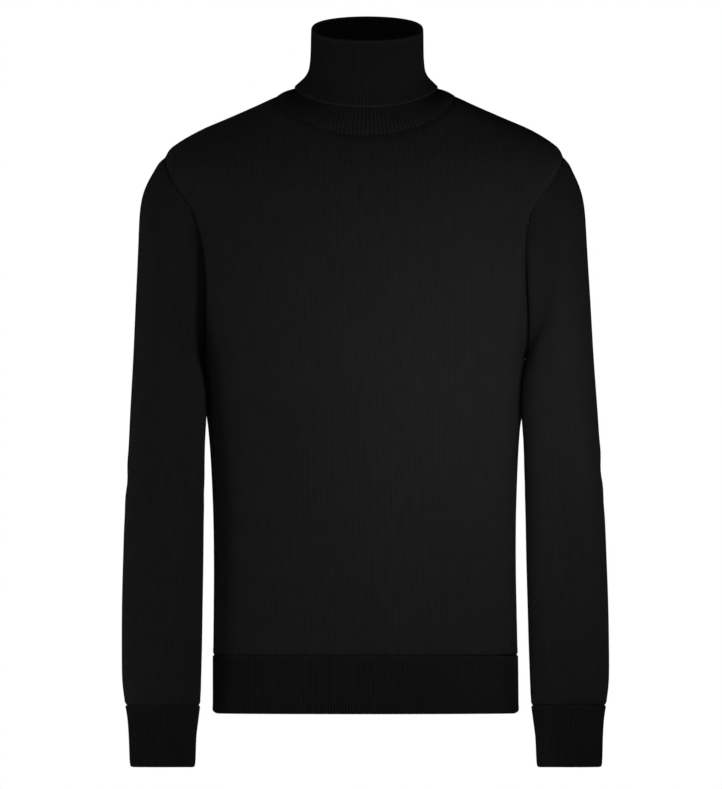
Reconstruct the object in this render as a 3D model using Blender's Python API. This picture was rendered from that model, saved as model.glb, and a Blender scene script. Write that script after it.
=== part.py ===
"""A fine-knit turtleneck sweater, hollow and in its worn shape. Metres, +Z up.

The front faces -Y and the wearer's left is +X. The origin is the middle of the neck at the
height of the shoulders' neck points, where the wearer holds the garment up.

Every piece of cloth is a grid of points on its right side. Where two pieces are sewn, their
grids share the points of the seam. The pieces are then drawn apart by the seam gap, and each
gets a wall whose direction at a seam is the same on both sides of it.
"""

import math
from collections import namedtuple

import bmesh
import bpy
from mathutils import Vector

# Driving dimensions.
WALL = 0.0018
SEAM_GAP = 0.0003
CORNER_DRAW = 0.0002
NECK_POINT = 0.001
FRONT_NECK_DROP = 0.044
BACK_NECK_DROP = 0.012
NECK_CURVE = 1.25
SHOULDER_TIP = -0.066
UNDERARM = -0.285
HEM_SEAM = -0.6163
HEM = -0.680
HEM_TURN = 0.004
HEM_TURN_HEIGHT = 0.003
COLLAR_CORE = 0.0006

# How finely the faceted cloth is cut.
PANEL_HALF_COLUMNS = 10
FOLD_STEPS = 4

JERSEY_BLACK = (0.013, 0.013, 0.014)
RIB_BLACK = (0.011, 0.011, 0.012)
CLOTH_ROUGHNESS = 0.92

TorsoSection = namedtuple("TorsoSection", "height half_width front back squareness")
TORSO_SECTIONS = (
    TorsoSection(0.0010, 0.0980, 0.0500, 0.0560, 2.05),
    TorsoSection(-0.0099, 0.1214, 0.0545, 0.0620, 2.05),
    TorsoSection(-0.0232, 0.1518, 0.0605, 0.0720, 2.08),
    TorsoSection(-0.0364, 0.1822, 0.0665, 0.0810, 2.12),
    TorsoSection(-0.0519, 0.2080, 0.0755, 0.0900, 2.18),
    TorsoSection(-0.0660, 0.2210, 0.0840, 0.0965, 2.22),
    TorsoSection(-0.0750, 0.2255, 0.0882, 0.0995, 2.25),
    TorsoSection(-0.0900, 0.2262, 0.0945, 0.1038, 2.28),
    TorsoSection(-0.1050, 0.2210, 0.1000, 0.1070, 2.31),
    TorsoSection(-0.1250, 0.2092, 0.1060, 0.1098, 2.35),
    TorsoSection(-0.1400, 0.2038, 0.1100, 0.1115, 2.38),
    TorsoSection(-0.1900, 0.1950, 0.1180, 0.1135, 2.42),
    TorsoSection(-0.2400, 0.1875, 0.1210, 0.1120, 2.42),
    TorsoSection(-0.2850, 0.1782, 0.1205, 0.1080, 2.40),
    TorsoSection(-0.3200, 0.1753, 0.1190, 0.1048, 2.38),
    TorsoSection(-0.3540, 0.1730, 0.1170, 0.1020, 2.36),
    TorsoSection(-0.3900, 0.1702, 0.1150, 0.1004, 2.34),
    TorsoSection(-0.4300, 0.1682, 0.1130, 0.0995, 2.32),
    TorsoSection(-0.4700, 0.1670, 0.1115, 0.0998, 2.31),
    TorsoSection(-0.5200, 0.1667, 0.1100, 0.1010, 2.30),
    TorsoSection(-0.5700, 0.1673, 0.1090, 0.1035, 2.30),
    TorsoSection(-0.6163, 0.1680, 0.1080, 0.1050, 2.30),
    TorsoSection(-0.6800, 0.1683, 0.1065, 0.1045, 2.30),
)

# The armhole as cut: an oval from the shoulder tip to the underarm, this deep each way.
ARMHOLE_DEPTH = {"front": 0.062, "back": 0.064}
ARMHOLE_MIDDLE = (SHOULDER_TIP + UNDERARM) / 2
ARMHOLE_HALF_HEIGHT = (SHOULDER_TIP - UNDERARM) / 2
ARMHOLE_STEPS = 8


def armhole_height(step):
    """Height of the armhole after this many of its equal turns from the shoulder tip."""
    return ARMHOLE_MIDDLE + ARMHOLE_HALF_HEIGHT * math.cos(math.pi * step / ARMHOLE_STEPS)


# Where each row of a body panel meets its side edge and its centre line.
PanelRow = namedtuple("PanelRow", "edge front_centre back_centre")
PANEL_ROWS = (
    PanelRow(NECK_POINT, NECK_POINT - FRONT_NECK_DROP, NECK_POINT - BACK_NECK_DROP),
    PanelRow(-0.0165, -0.0600, -0.0300),
    PanelRow(-0.0340, -0.0790, -0.0510),
    PanelRow(-0.0510, -0.0990, -0.0740),
    PanelRow(SHOULDER_TIP, -0.1190, -0.0970),
    PanelRow(armhole_height(1), -0.1360, -0.1150),
    PanelRow(armhole_height(2), -0.1560, -0.1380),
    PanelRow(armhole_height(3), -0.1810, -0.1680),
    PanelRow(armhole_height(4), -0.2110, -0.2030),
    PanelRow(armhole_height(5), -0.2410, -0.2370),
    PanelRow(armhole_height(6), -0.2680, -0.2660),
    PanelRow(armhole_height(7), -0.2880, -0.2870),
    PanelRow(UNDERARM, -0.3020, -0.3010),
    PanelRow(-0.3300, -0.3360, -0.3360),
    PanelRow(-0.3800, -0.3820, -0.3820),
    PanelRow(-0.4300, -0.4300, -0.4300),
    PanelRow(-0.4800, -0.4800, -0.4800),
    PanelRow(-0.5300, -0.5300, -0.5300),
    PanelRow(-0.5740, -0.5740, -0.5740),
    PanelRow(HEM_SEAM, HEM_SEAM, HEM_SEAM),
)

# A sleeve's rings fan out from the underarm until they lie level, then run down to the wrist.
# The twist turns each oval about the arm, so that its innermost point lies ahead of the body's.
SleeveRing = namedtuple(
    "SleeveRing", "inner inner_height outer outer_height middle front back twist"
)
SLEEVE_RINGS = (
    SleeveRing(0.1787, -0.2910, 0.2397, -0.1000, -0.002, 0.0650, 0.0650, 0.06),
    SleeveRing(0.1779, -0.2970, 0.2450, -0.1300, -0.004, 0.0660, 0.0655, 0.15),
    SleeveRing(0.1762, -0.3050, 0.2479, -0.1680, -0.006, 0.0660, 0.0655, 0.24),
    SleeveRing(0.1751, -0.3150, 0.2502, -0.2070, -0.009, 0.0655, 0.0650, 0.29),
    SleeveRing(0.1740, -0.3300, 0.2525, -0.2500, -0.012, 0.0645, 0.0642, 0.30),
    SleeveRing(0.1737, -0.3520, 0.2550, -0.2990, -0.015, 0.0630, 0.0625, 0.30),
    SleeveRing(0.1755, -0.3830, 0.2583, -0.3520, -0.018, 0.0605, 0.0600, 0.30),
    SleeveRing(0.1764, -0.4220, 0.2613, -0.4060, -0.021, 0.0575, 0.0570, 0.30),
    SleeveRing(0.1773, -0.4680, 0.2650, -0.4610, -0.024, 0.0540, 0.0540, 0.30),
    SleeveRing(0.1780, -0.5150, 0.2670, -0.5130, -0.026, 0.0505, 0.0505, 0.30),
    SleeveRing(0.1790, -0.5600, 0.2684, -0.5600, -0.028, 0.0470, 0.0470, 0.30),
    SleeveRing(0.1800, -0.6050, 0.2689, -0.6050, -0.029, 0.0430, 0.0430, 0.30),
    SleeveRing(0.1811, -0.6400, 0.2687, -0.6400, -0.030, 0.0390, 0.0390, 0.30),
    SleeveRing(0.1818, -0.6590, 0.2670, -0.6590, -0.030, 0.0355, 0.0355, 0.30),
    SleeveRing(0.1830, -0.6715, 0.2647, -0.6715, -0.030, 0.0320, 0.0320, 0.30),
)
CUFF_RINGS = (
    SleeveRing(0.1848, -0.6860, 0.2625, -0.6860, -0.030, 0.0285, 0.0285, 0.30),
    SleeveRing(0.1873, -0.7060, 0.2611, -0.7060, -0.030, 0.0260, 0.0260, 0.30),
    SleeveRing(0.1887, -0.7350, 0.2600, -0.7350, -0.030, 0.0245, 0.0245, 0.30),
    SleeveRing(0.1912, -0.7390, 0.2575, -0.7390, -0.030, 0.0220, 0.0220, 0.30),
)

# The line between the collar's two layers, from the free edge up to the fold.
CollarRing = namedtuple(
    "CollarRing", "side front back front_height side_height back_height curve"
)
COLLAR_RINGS = (
    CollarRing(0.0784, 0.0640, 0.0560, -0.0112, 0.0098, 0.0180, 1.25),
    CollarRing(0.0652, 0.0620, 0.0530, 0.0050, 0.0225, 0.0335, 1.20),
    CollarRing(0.0602, 0.0610, 0.0515, 0.0240, 0.0385, 0.0520, 1.10),
    CollarRing(0.0592, 0.0600, 0.0500, 0.0594, 0.0735, 0.0870, 0.95),
)
STAND_STEPS = 2

# How far the garment hangs towards the wearer's right at each height.
Lean = namedtuple("Lean", "height shift")
LEAN = (
    Lean(0.1000, 0.0000),
    Lean(-0.0360, 0.0000),
    Lean(-0.0600, -0.0016),
    Lean(-0.0900, -0.0036),
    Lean(-0.1200, -0.0040),
    Lean(-0.2000, -0.0034),
    Lean(-0.3000, -0.0027),
    Lean(-0.4000, -0.0018),
    Lean(-0.5200, -0.0012),
    Lean(-0.6200, -0.0006),
    Lean(-0.7400, 0.0000),
)
SIDES = {"left": 1, "right": -1}


def read_table(rows, height, column):
    """Reads a column at a height, on a smooth curve through the table's rows."""
    heights = [-row[0] for row in rows]
    values = [getattr(row, column) for row in rows]
    place = min(max(-height, heights[0]), heights[-1])
    last = len(rows) - 1
    at = max(k for k in range(last) if heights[k] <= place)

    def slope(k):
        low, high = max(k - 1, 0), min(k + 1, last)
        return (values[high] - values[low]) / (heights[high] - heights[low])

    span = heights[at + 1] - heights[at]
    t = (place - heights[at]) / span
    return (
        values[at] * (2 * t**3 - 3 * t**2 + 1)
        + values[at + 1] * (3 * t**2 - 2 * t**3)
        + slope(at) * span * (t**3 - 2 * t**2 + t)
        + slope(at + 1) * span * (t**3 - t**2)
    )


def lean_at(height):
    """How far points at a height are shifted sideways by the garment's lean."""
    return read_table(LEAN, height, "shift")


def torso_depth(x, height, column):
    """Depth of the torso's form in front or behind, this far from the middle."""
    ratio = min(abs(x) / read_table(TORSO_SECTIONS, height, "half_width"), 1.0)
    power = read_table(TORSO_SECTIONS, height, "squareness")
    return read_table(TORSO_SECTIONS, height, column) * (1 - ratio**power) ** (1 / power)


def edge_width(height, column):
    """Distance of a panel's side edge from the middle: seam, armhole or shoulder line."""
    width = read_table(TORSO_SECTIONS, height, "half_width")
    if not UNDERARM < height < SHOULDER_TIP:
        return width
    fall = (height - ARMHOLE_MIDDLE) / ARMHOLE_HALF_HEIGHT
    ratio = ARMHOLE_DEPTH[column] * math.sqrt(1 - fall**2)
    ratio /= read_table(TORSO_SECTIONS, height, column)
    power = read_table(TORSO_SECTIONS, height, "squareness")
    return width * (1 - ratio**power) ** (1 / power)


def panel_row(edge, centre, column):
    """One row of a body panel, from the right side seam to the left one."""
    sign = -1 if column == "front" else 1
    width = edge_width(edge, column)
    reach = math.asin(min(width / read_table(TORSO_SECTIONS, edge, "half_width"), 1.0))
    row = []
    for step in range(-PANEL_HALF_COLUMNS, PANEL_HALF_COLUMNS + 1):
        share = step / PANEL_HALF_COLUMNS
        x = width * math.sin(reach * share) / math.sin(reach)
        fall = max(math.cos(share * math.pi / 2), 0.0) ** NECK_CURVE
        z = edge + (centre - edge) * fall
        row.append(Vector((x + lean_at(z), sign * torso_depth(x, z, column), z)))
    return row


def panel_grid(column):
    """The points of the front or the back panel."""
    centre = column + "_centre"
    return [panel_row(row.edge, getattr(row, centre), column) for row in PANEL_ROWS]


def round_loop(front_row, back_row):
    """Joins a front row and a back row into one loop, both given from right to left."""
    return front_row + back_row[-2:0:-1]


def armhole_loop(front, back, sign):
    """The armhole's points from the shoulder tip, down the front and up the back."""
    column = -1 if sign > 0 else 0
    tip = next(k for k, row in enumerate(PANEL_ROWS) if row.edge == SHOULDER_TIP)
    arm = next(k for k, row in enumerate(PANEL_ROWS) if row.edge == UNDERARM)
    down = [front[k][column] for k in range(tip, arm + 1)]
    up = [back[k][column] for k in range(arm - 1, tip, -1)]
    return down + up


def sleeve_loop(ring, sign, count):
    """One ring of a sleeve or cuff: an oval between its inner and outer points."""
    loop = []
    for step in range(count):
        turn = 2 * math.pi * step / count
        share = (1 + math.cos(turn + ring.twist)) / 2
        depth = ring.front if turn < math.pi else ring.back
        x = ring.inner + (ring.outer - ring.inner) * share
        z = ring.inner_height + (ring.outer_height - ring.inner_height) * share
        loop.append(Vector((sign * x + lean_at(z), ring.middle - depth * math.sin(turn), z)))
    return loop


def collar_loop(ring):
    """One ring of the collar, from the right side over the front to the left and round."""
    half = 2 * PANEL_HALF_COLUMNS
    loop = []
    for step in range(2 * half):
        turn = math.pi * (step - PANEL_HALF_COLUMNS) / half
        ahead = math.cos(turn)
        near = "front" if ahead > 0 else "back"
        depth = getattr(ring, near)
        height = getattr(ring, near + "_height")
        z = ring.side_height + (height - ring.side_height) * abs(ahead) ** ring.curve
        loop.append(Vector((ring.side * math.sin(turn), -depth * ahead, z)))
    return loop


def grid_normals(grid, closed):
    """A unit normal for each point, square to its neighbours along and across."""
    rows, columns = len(grid), len(grid[0])
    normals = []
    for i in range(rows):
        line = []
        for j in range(columns):
            above, below = grid[max(i - 1, 0)][j], grid[min(i + 1, rows - 1)][j]
            if closed:
                before, after = grid[i][j - 1], grid[i][(j + 1) % columns]
            else:
                before, after = grid[i][max(j - 1, 0)], grid[i][min(j + 1, columns - 1)]
            line.append((after - before).cross(above - below).normalized())
        normals.append(line)
    return normals


def collar_grid(neckline):
    """The collar's points: stand, inner layer, fold, and outer layer down to its free edge.

    Both layers lie on the line between them, drawn apart by the core's radius.
    """
    core = [collar_loop(ring) for ring in COLLAR_RINGS]
    outward = grid_normals(core[::-1], True)[::-1]
    count = len(neckline)
    rise = [(core[-1][j] - core[-2][j]).normalized() for j in range(count)]

    def layer(k, across, along=0.0):
        return [core[k][j] + outward[k][j] * across + rise[j] * along for j in range(count)]

    inner = [layer(k, -COLLAR_CORE) for k in range(len(core))]
    stand = []
    for step in range(STAND_STEPS):
        share = step / STAND_STEPS
        stand.append([neckline[j].lerp(inner[0][j], share) for j in range(count)])
    fold = []
    for step in range(1, FOLD_STEPS):
        turn = math.pi * step / FOLD_STEPS
        fold.append(layer(-1, -COLLAR_CORE * math.cos(turn), COLLAR_CORE * math.sin(turn)))
    outer = [layer(k, COLLAR_CORE) for k in reversed(range(len(core)))]
    return stand + inner + fold + outer


def hem_grid(seam):
    """The hem band: a short rib tube whose bottom edge rolls in a little."""
    bottom = round_loop(panel_row(HEM, HEM, "front"), panel_row(HEM, HEM, "back"))
    roll = 1 - HEM_TURN / read_table(TORSO_SECTIONS, HEM, "half_width")
    middle = [seam[j].lerp(bottom[j], 0.5) for j in range(len(seam))]
    straight = [point + Vector((0, 0, HEM_TURN_HEIGHT)) for point in bottom]
    turned = [Vector((point.x * roll, point.y * roll, point.z)) for point in bottom]
    return [seam, middle, straight, turned]


class Piece:
    """One cut piece: its grid, whether its columns close into a tube, and its walls."""

    def __init__(self, name, grid, closed, colour):
        """Keeps the piece's points and works out its own normals."""
        self.name = name
        self.grid = grid
        self.closed = closed
        self.colour = colour
        self.normals = grid_normals(grid, closed)
        self.shift = [[Vector() for _ in row] for row in grid]

    def border(self):
        """Each border point as row, column and the unit direction into the piece."""
        rows, columns = len(self.grid), len(self.grid[0])
        for i in range(rows):
            for j in range(columns):
                down = {0: 1, rows - 1: -1}.get(i, 0)
                over = 0 if self.closed else {0: 1, columns - 1: -1}.get(j, 0)
                if down or over:
                    inside = self.grid[i + down][j + over] - self.grid[i][j]
                    yield i, j, inside.normalized()


def sew(pieces):
    """Shares one wall direction at each seam point and draws the pieces apart there."""
    seams = {}
    for piece in pieces:
        for i, j, inside in piece.border():
            key = tuple(round(value, 5) for value in piece.grid[i][j])
            seams.setdefault(key, []).append((piece, i, j, inside))
    for meeting in seams.values():
        if len(meeting) < 2:
            continue
        shared = sum((piece.normals[i][j] for piece, i, j, _ in meeting), Vector()).normalized()
        draw = SEAM_GAP / 2 if len(meeting) == 2 else CORNER_DRAW
        for piece, i, j, inside in meeting:
            others = sum((way for other, _, _, way in meeting if other is not piece), Vector())
            apart = inside - others / (len(meeting) - 1)
            apart -= shared * apart.dot(shared)
            piece.normals[i][j] = shared
            piece.shift[i][j] = apart.normalized() * draw


def make_wall(piece, collection):
    """Makes a piece's closed wall by hand, because its sides must follow the shared seams."""
    rows, columns = len(piece.grid), len(piece.grid[0])
    mesh = bmesh.new()
    right, wrong = [], []
    for i in range(rows):
        points = [piece.grid[i][j] + piece.shift[i][j] for j in range(columns)]
        right.append([mesh.verts.new(point) for point in points])
        backs = [points[j] - piece.normals[i][j] * WALL for j in range(columns)]
        wrong.append([mesh.verts.new(point) for point in backs])
    spans = columns if piece.closed else columns - 1
    for j in range(spans):
        k = (j + 1) % columns
        for i in range(rows - 1):
            mesh.faces.new((right[i][j], right[i + 1][j], right[i + 1][k], right[i][k]))
            mesh.faces.new((wrong[i][j], wrong[i][k], wrong[i + 1][k], wrong[i + 1][j]))
        mesh.faces.new((right[0][j], right[0][k], wrong[0][k], wrong[0][j]))
        mesh.faces.new((right[-1][j], wrong[-1][j], wrong[-1][k], right[-1][k]))
    if not piece.closed:
        for i in range(rows - 1):
            mesh.faces.new((right[i][0], wrong[i][0], wrong[i + 1][0], right[i + 1][0]))
            mesh.faces.new((right[i][-1], right[i + 1][-1], wrong[i + 1][-1], wrong[i][-1]))
    data = bpy.data.meshes.new(piece.name)
    mesh.to_mesh(data)
    mesh.free()
    data.shade_smooth()
    data.materials.append(cloth_material(piece.name, piece.colour))
    node = bpy.data.objects.new(piece.name, data)
    collection.objects.link(node)


def cloth_material(name, colour):
    """A matt knit finish for one piece."""
    material = bpy.data.materials.new(name)
    material.use_nodes = True
    shader = material.node_tree.nodes["Principled BSDF"]
    shader.inputs["Base Color"].default_value = (*colour, 1.0)
    shader.inputs["Roughness"].default_value = CLOTH_ROUGHNESS
    shader.inputs["Metallic"].default_value = 0.0
    return material


def sleeve_pieces(name, sign, front, back):
    """A side's sleeve and cuff, both run from the armhole's loop down."""
    armhole = armhole_loop(front, back, sign)
    arm = [armhole] + [sleeve_loop(ring, sign, len(armhole)) for ring in SLEEVE_RINGS]
    wrist = arm[-1:] + [sleeve_loop(ring, sign, len(armhole)) for ring in CUFF_RINGS]
    if sign > 0:
        arm = [row[::-1] for row in arm]
        wrist = [row[::-1] for row in wrist]
    return [
        Piece(name + "_sleeve", arm, True, JERSEY_BLACK),
        Piece(name + "_cuff", wrist, True, RIB_BLACK),
    ]


def build():
    """Makes every piece of the sweater in one collection."""
    for old in list(bpy.data.objects):
        bpy.data.objects.remove(old)
    collection = bpy.data.collections.new("turtleneck_sweater")
    bpy.context.scene.collection.children.link(collection)
    front, back = panel_grid("front"), panel_grid("back")
    neckline = round_loop(front[0], back[0])
    hem_seam = round_loop(front[-1], back[-1])
    pieces = [
        Piece("front_body", front, False, JERSEY_BLACK),
        Piece("back_body", [row[::-1] for row in back], False, JERSEY_BLACK),
        Piece("collar", collar_grid(neckline)[::-1], True, RIB_BLACK),
        Piece("hem_rib", hem_grid(hem_seam), True, RIB_BLACK),
    ]
    for name, sign in SIDES.items():
        pieces += sleeve_pieces(name, sign, front, back)
    sew(pieces)
    for piece in pieces:
        make_wall(piece, collection)


build()
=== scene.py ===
"""The looks of a fine-knit turtleneck sweater, filled out as worn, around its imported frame.

Metres, +Z up. The front faces -Y and the wearer's left is +X. Every piece of cloth is a grid
whose points follow the worn form, so its stitches can run along the cloth as knitted.
"""

from __future__ import annotations

import logging
import math
from collections.abc import Callable
from dataclasses import dataclass, field, fields, replace
from enum import Enum

import bmesh
import bpy
import numpy as np
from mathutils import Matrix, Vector
from mathutils.kdtree import KDTree


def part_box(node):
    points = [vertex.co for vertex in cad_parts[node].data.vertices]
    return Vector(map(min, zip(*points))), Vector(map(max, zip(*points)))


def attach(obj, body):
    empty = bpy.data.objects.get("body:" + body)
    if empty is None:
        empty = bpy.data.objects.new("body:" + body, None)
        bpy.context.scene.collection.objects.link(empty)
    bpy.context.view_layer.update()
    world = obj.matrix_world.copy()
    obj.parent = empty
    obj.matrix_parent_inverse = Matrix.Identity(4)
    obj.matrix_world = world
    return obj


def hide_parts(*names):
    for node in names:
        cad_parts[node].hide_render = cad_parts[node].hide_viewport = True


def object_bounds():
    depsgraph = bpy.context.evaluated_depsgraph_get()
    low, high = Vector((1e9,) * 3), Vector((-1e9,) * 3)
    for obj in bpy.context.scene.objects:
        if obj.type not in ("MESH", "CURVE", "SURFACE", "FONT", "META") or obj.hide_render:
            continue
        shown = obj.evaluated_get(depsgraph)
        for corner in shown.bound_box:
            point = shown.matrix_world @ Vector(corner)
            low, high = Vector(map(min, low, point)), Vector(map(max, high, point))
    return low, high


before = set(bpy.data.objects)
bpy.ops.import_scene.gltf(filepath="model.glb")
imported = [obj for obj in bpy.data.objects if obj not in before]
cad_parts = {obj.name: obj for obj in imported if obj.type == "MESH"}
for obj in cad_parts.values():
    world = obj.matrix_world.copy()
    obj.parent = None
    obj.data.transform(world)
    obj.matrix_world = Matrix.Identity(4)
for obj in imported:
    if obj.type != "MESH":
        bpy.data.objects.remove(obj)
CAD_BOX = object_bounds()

log = logging.getLogger("sweater")

# --- Sizes that more than one piece shares --------------------------------------------------

WALL = 0.0018
NECK_POINT = 0.001
FRONT_NECK_DROP = 0.044
BACK_NECK_DROP = 0.012
NECK_CURVE = 1.25
SHOULDER_TIP = -0.066
UNDERARM = -0.285
HEM_SEAM = -0.6163
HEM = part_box("hem_rib")[0].z
SEAM_GAP = 0.0002
WALE_PITCH = 0.0027
RIB_PITCH = 0.0031
COURSE_PITCH = 0.0021
RIB_RAISE = 0.25
BAND_NEAR = (0.04, 0.09, 0.15)
# Linked edges get a bead mask: the cloth there is raised and its ribs flattened, and the knits lighten
# its colour as a painted highlight.
BEAD_HIGHLIGHT_WIDTH = 0.0011
BEAD_RAISE = 0.0003
BEAD_FLAT = 0.8
EDGE_RELIEF = 0.4
WRONG_SIDE_RELIEF = 0.8
NECK_SIDE_SHARE = 0.15
NECK_SIDE_DEPTHS = (0.006, 0.030)
GRAIN_LIMITS = (0.3, 0.7)
WHITE = (1.0, 1.0, 1.0, 1.0)
WELD = 2e-6
LINE_STEPS = 8
KNIT_UV = "Knit"
# The vertex attribute that holds the bead mask for the painted highlight.
BEAD_HIGHLIGHT = "Bead"


class Face(Enum):
    """Which half of the body a panel covers, and the way it faces along Y."""

    FRONT = -1
    BACK = 1

    @property
    def column(self) -> str:
        """The name of this half's column in the tables of sizes."""
        return self.name.lower()


@dataclass(frozen=True)
class TorsoSection:
    """One level slice of the worn body."""

    height: float
    half_width: float
    front: float
    back: float
    squareness: float


TORSO_SECTIONS = (
    TorsoSection(0.0010, 0.0980, 0.0500, 0.0560, 2.05),
    TorsoSection(-0.0099, 0.1214, 0.0545, 0.0620, 2.05),
    TorsoSection(-0.0232, 0.1518, 0.0605, 0.0720, 2.08),
    TorsoSection(-0.0364, 0.1822, 0.0665, 0.0810, 2.12),
    TorsoSection(-0.0519, 0.2080, 0.0755, 0.0900, 2.18),
    TorsoSection(-0.0660, 0.2210, 0.0840, 0.0965, 2.22),
    TorsoSection(-0.0750, 0.2255, 0.0882, 0.0995, 2.25),
    TorsoSection(-0.0900, 0.2262, 0.0945, 0.1038, 2.28),
    TorsoSection(-0.1050, 0.2210, 0.1000, 0.1070, 2.31),
    TorsoSection(-0.1250, 0.2092, 0.1060, 0.1098, 2.35),
    TorsoSection(-0.1400, 0.2038, 0.1100, 0.1115, 2.38),
    TorsoSection(-0.1900, 0.1950, 0.1180, 0.1135, 2.42),
    TorsoSection(-0.2400, 0.1875, 0.1210, 0.1120, 2.42),
    TorsoSection(-0.2850, 0.1782, 0.1205, 0.1080, 2.40),
    TorsoSection(-0.3200, 0.1753, 0.1190, 0.1048, 2.38),
    TorsoSection(-0.3540, 0.1730, 0.1170, 0.1020, 2.36),
    TorsoSection(-0.3900, 0.1702, 0.1150, 0.1004, 2.34),
    TorsoSection(-0.4300, 0.1682, 0.1130, 0.0995, 2.32),
    TorsoSection(-0.4700, 0.1670, 0.1115, 0.0998, 2.31),
    TorsoSection(-0.5200, 0.1667, 0.1100, 0.1010, 2.30),
    TorsoSection(-0.5700, 0.1673, 0.1090, 0.1035, 2.30),
    TorsoSection(-0.6163, 0.1680, 0.1080, 0.1050, 2.30),
    TorsoSection(-0.6800, 0.1683, 0.1065, 0.1045, 2.30),
)


@dataclass(frozen=True)
class PanelRow:
    """Where a row of a body panel meets its centre line, for each place down the panel."""

    place: float
    edge: float
    front_centre: float
    back_centre: float


SHOULDER_PLACE = 4.0
UNDERARM_PLACE = 12.0
HEM_PLACE = 19.0
PANEL_ROWS = (
    PanelRow(0, NECK_POINT, NECK_POINT - FRONT_NECK_DROP, NECK_POINT - BACK_NECK_DROP),
    PanelRow(1, -0.0165, -0.0600, -0.0300),
    PanelRow(2, -0.0340, -0.0790, -0.0510),
    PanelRow(3, -0.0510, -0.0990, -0.0740),
    PanelRow(SHOULDER_PLACE, SHOULDER_TIP, -0.1190, -0.0970),
    PanelRow(5, -0.0743, -0.1360, -0.1150),
    PanelRow(6, -0.0981, -0.1560, -0.1380),
    PanelRow(7, -0.1336, -0.1810, -0.1680),
    PanelRow(8, -0.1755, -0.2110, -0.2030),
    PanelRow(9, -0.2174, -0.2410, -0.2370),
    PanelRow(10, -0.2529, -0.2680, -0.2660),
    PanelRow(11, -0.2767, -0.2880, -0.2870),
    PanelRow(UNDERARM_PLACE, UNDERARM, -0.3020, -0.3010),
    PanelRow(13, -0.3300, -0.3360, -0.3360),
    PanelRow(14, -0.3800, -0.3820, -0.3820),
    PanelRow(15, -0.4300, -0.4300, -0.4300),
    PanelRow(16, -0.4800, -0.4800, -0.4800),
    PanelRow(17, -0.5300, -0.5300, -0.5300),
    PanelRow(18, -0.5740, -0.5740, -0.5740),
    PanelRow(HEM_PLACE, HEM_SEAM, HEM_SEAM, HEM_SEAM),
)


@dataclass(frozen=True)
class SleeveRing:
    """One oval of a sleeve or cuff, between its innermost and outermost points.

    The twist turns it about the arm, which brings its innermost point forward.
    """

    inner: float
    inner_height: float
    outer: float
    outer_height: float
    middle: float
    front: float
    back: float
    twist: float


SLEEVE_RINGS = (
    SleeveRing(0.1787, -0.2910, 0.2412, -0.0985, -0.002, 0.0650, 0.0650, 0.06),
    SleeveRing(0.1779, -0.2970, 0.2457, -0.1300, -0.004, 0.0660, 0.0655, 0.15),
    SleeveRing(0.1762, -0.3050, 0.2479, -0.1680, -0.006, 0.0660, 0.0655, 0.24),
    SleeveRing(0.1751, -0.3150, 0.2502, -0.2070, -0.009, 0.0655, 0.0650, 0.29),
    SleeveRing(0.1740, -0.3300, 0.2525, -0.2500, -0.012, 0.0645, 0.0642, 0.30),
    SleeveRing(0.1737, -0.3520, 0.2550, -0.2990, -0.015, 0.0630, 0.0625, 0.30),
    SleeveRing(0.1755, -0.3830, 0.2583, -0.3520, -0.018, 0.0605, 0.0600, 0.30),
    SleeveRing(0.1764, -0.4220, 0.2613, -0.4060, -0.021, 0.0575, 0.0570, 0.30),
    SleeveRing(0.1773, -0.4680, 0.2650, -0.4610, -0.024, 0.0540, 0.0540, 0.30),
    SleeveRing(0.1780, -0.5150, 0.2670, -0.5130, -0.026, 0.0505, 0.0505, 0.30),
    SleeveRing(0.1790, -0.5600, 0.2684, -0.5600, -0.028, 0.0470, 0.0470, 0.30),
    SleeveRing(0.1800, -0.6050, 0.2689, -0.6050, -0.029, 0.0430, 0.0430, 0.30),
    SleeveRing(0.1811, -0.6400, 0.2687, -0.6400, -0.030, 0.0390, 0.0390, 0.30),
    SleeveRing(0.1818, -0.6590, 0.2670, -0.6590, -0.030, 0.0355, 0.0355, 0.30),
    SleeveRing(0.1830, -0.6715, 0.2647, -0.6715, -0.030, 0.0320, 0.0320, 0.30),
)
CUFF_RINGS = (
    SleeveRing(0.1848, -0.6860, 0.2625, -0.6860, -0.030, 0.0285, 0.0285, 0.30),
    SleeveRing(0.1873, -0.7060, 0.2611, -0.7060, -0.030, 0.0260, 0.0260, 0.30),
    SleeveRing(0.1887, -0.7350, 0.2600, -0.7350, -0.030, 0.0245, 0.0245, 0.30),
    SleeveRing(0.1912, -0.7390, 0.2575, -0.7390, -0.030, 0.0220, 0.0220, 0.30),
)


@dataclass(frozen=True)
class CollarRing:
    """One oval of the line between the collar's two layers."""

    side: float
    front: float
    back: float
    front_height: float
    side_height: float
    back_height: float
    curve: float


COLLAR_RINGS = (
    CollarRing(0.0768, 0.0640, 0.0560, -0.0112, 0.0098, 0.0180, 1.25),
    CollarRing(0.0644, 0.0620, 0.0530, 0.0050, 0.0225, 0.0335, 1.20),
    CollarRing(0.0602, 0.0610, 0.0515, 0.0240, 0.0385, 0.0520, 1.10),
    CollarRing(0.0592, 0.0600, 0.0500, 0.0594, 0.0735, 0.0870, 0.78),
)


@dataclass(frozen=True)
class Lean:
    """How far the garment hangs towards the wearer's right at a height."""

    height: float
    shift: float


LEAN = (
    Lean(0.0900, 0.0014),
    Lean(0.0400, 0.0012),
    Lean(0.0000, 0.0000),
    Lean(-0.0360, 0.0000),
    Lean(-0.0600, -0.0016),
    Lean(-0.0900, -0.0036),
    Lean(-0.1200, -0.0040),
    Lean(-0.2000, -0.0034),
    Lean(-0.3000, -0.0027),
    Lean(-0.4000, -0.0018),
    Lean(-0.5200, -0.0012),
    Lean(-0.6200, -0.0006),
    Lean(-0.7400, 0.0000),
)


# --- The worn form ---------------------------------------------------------------------------


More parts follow.
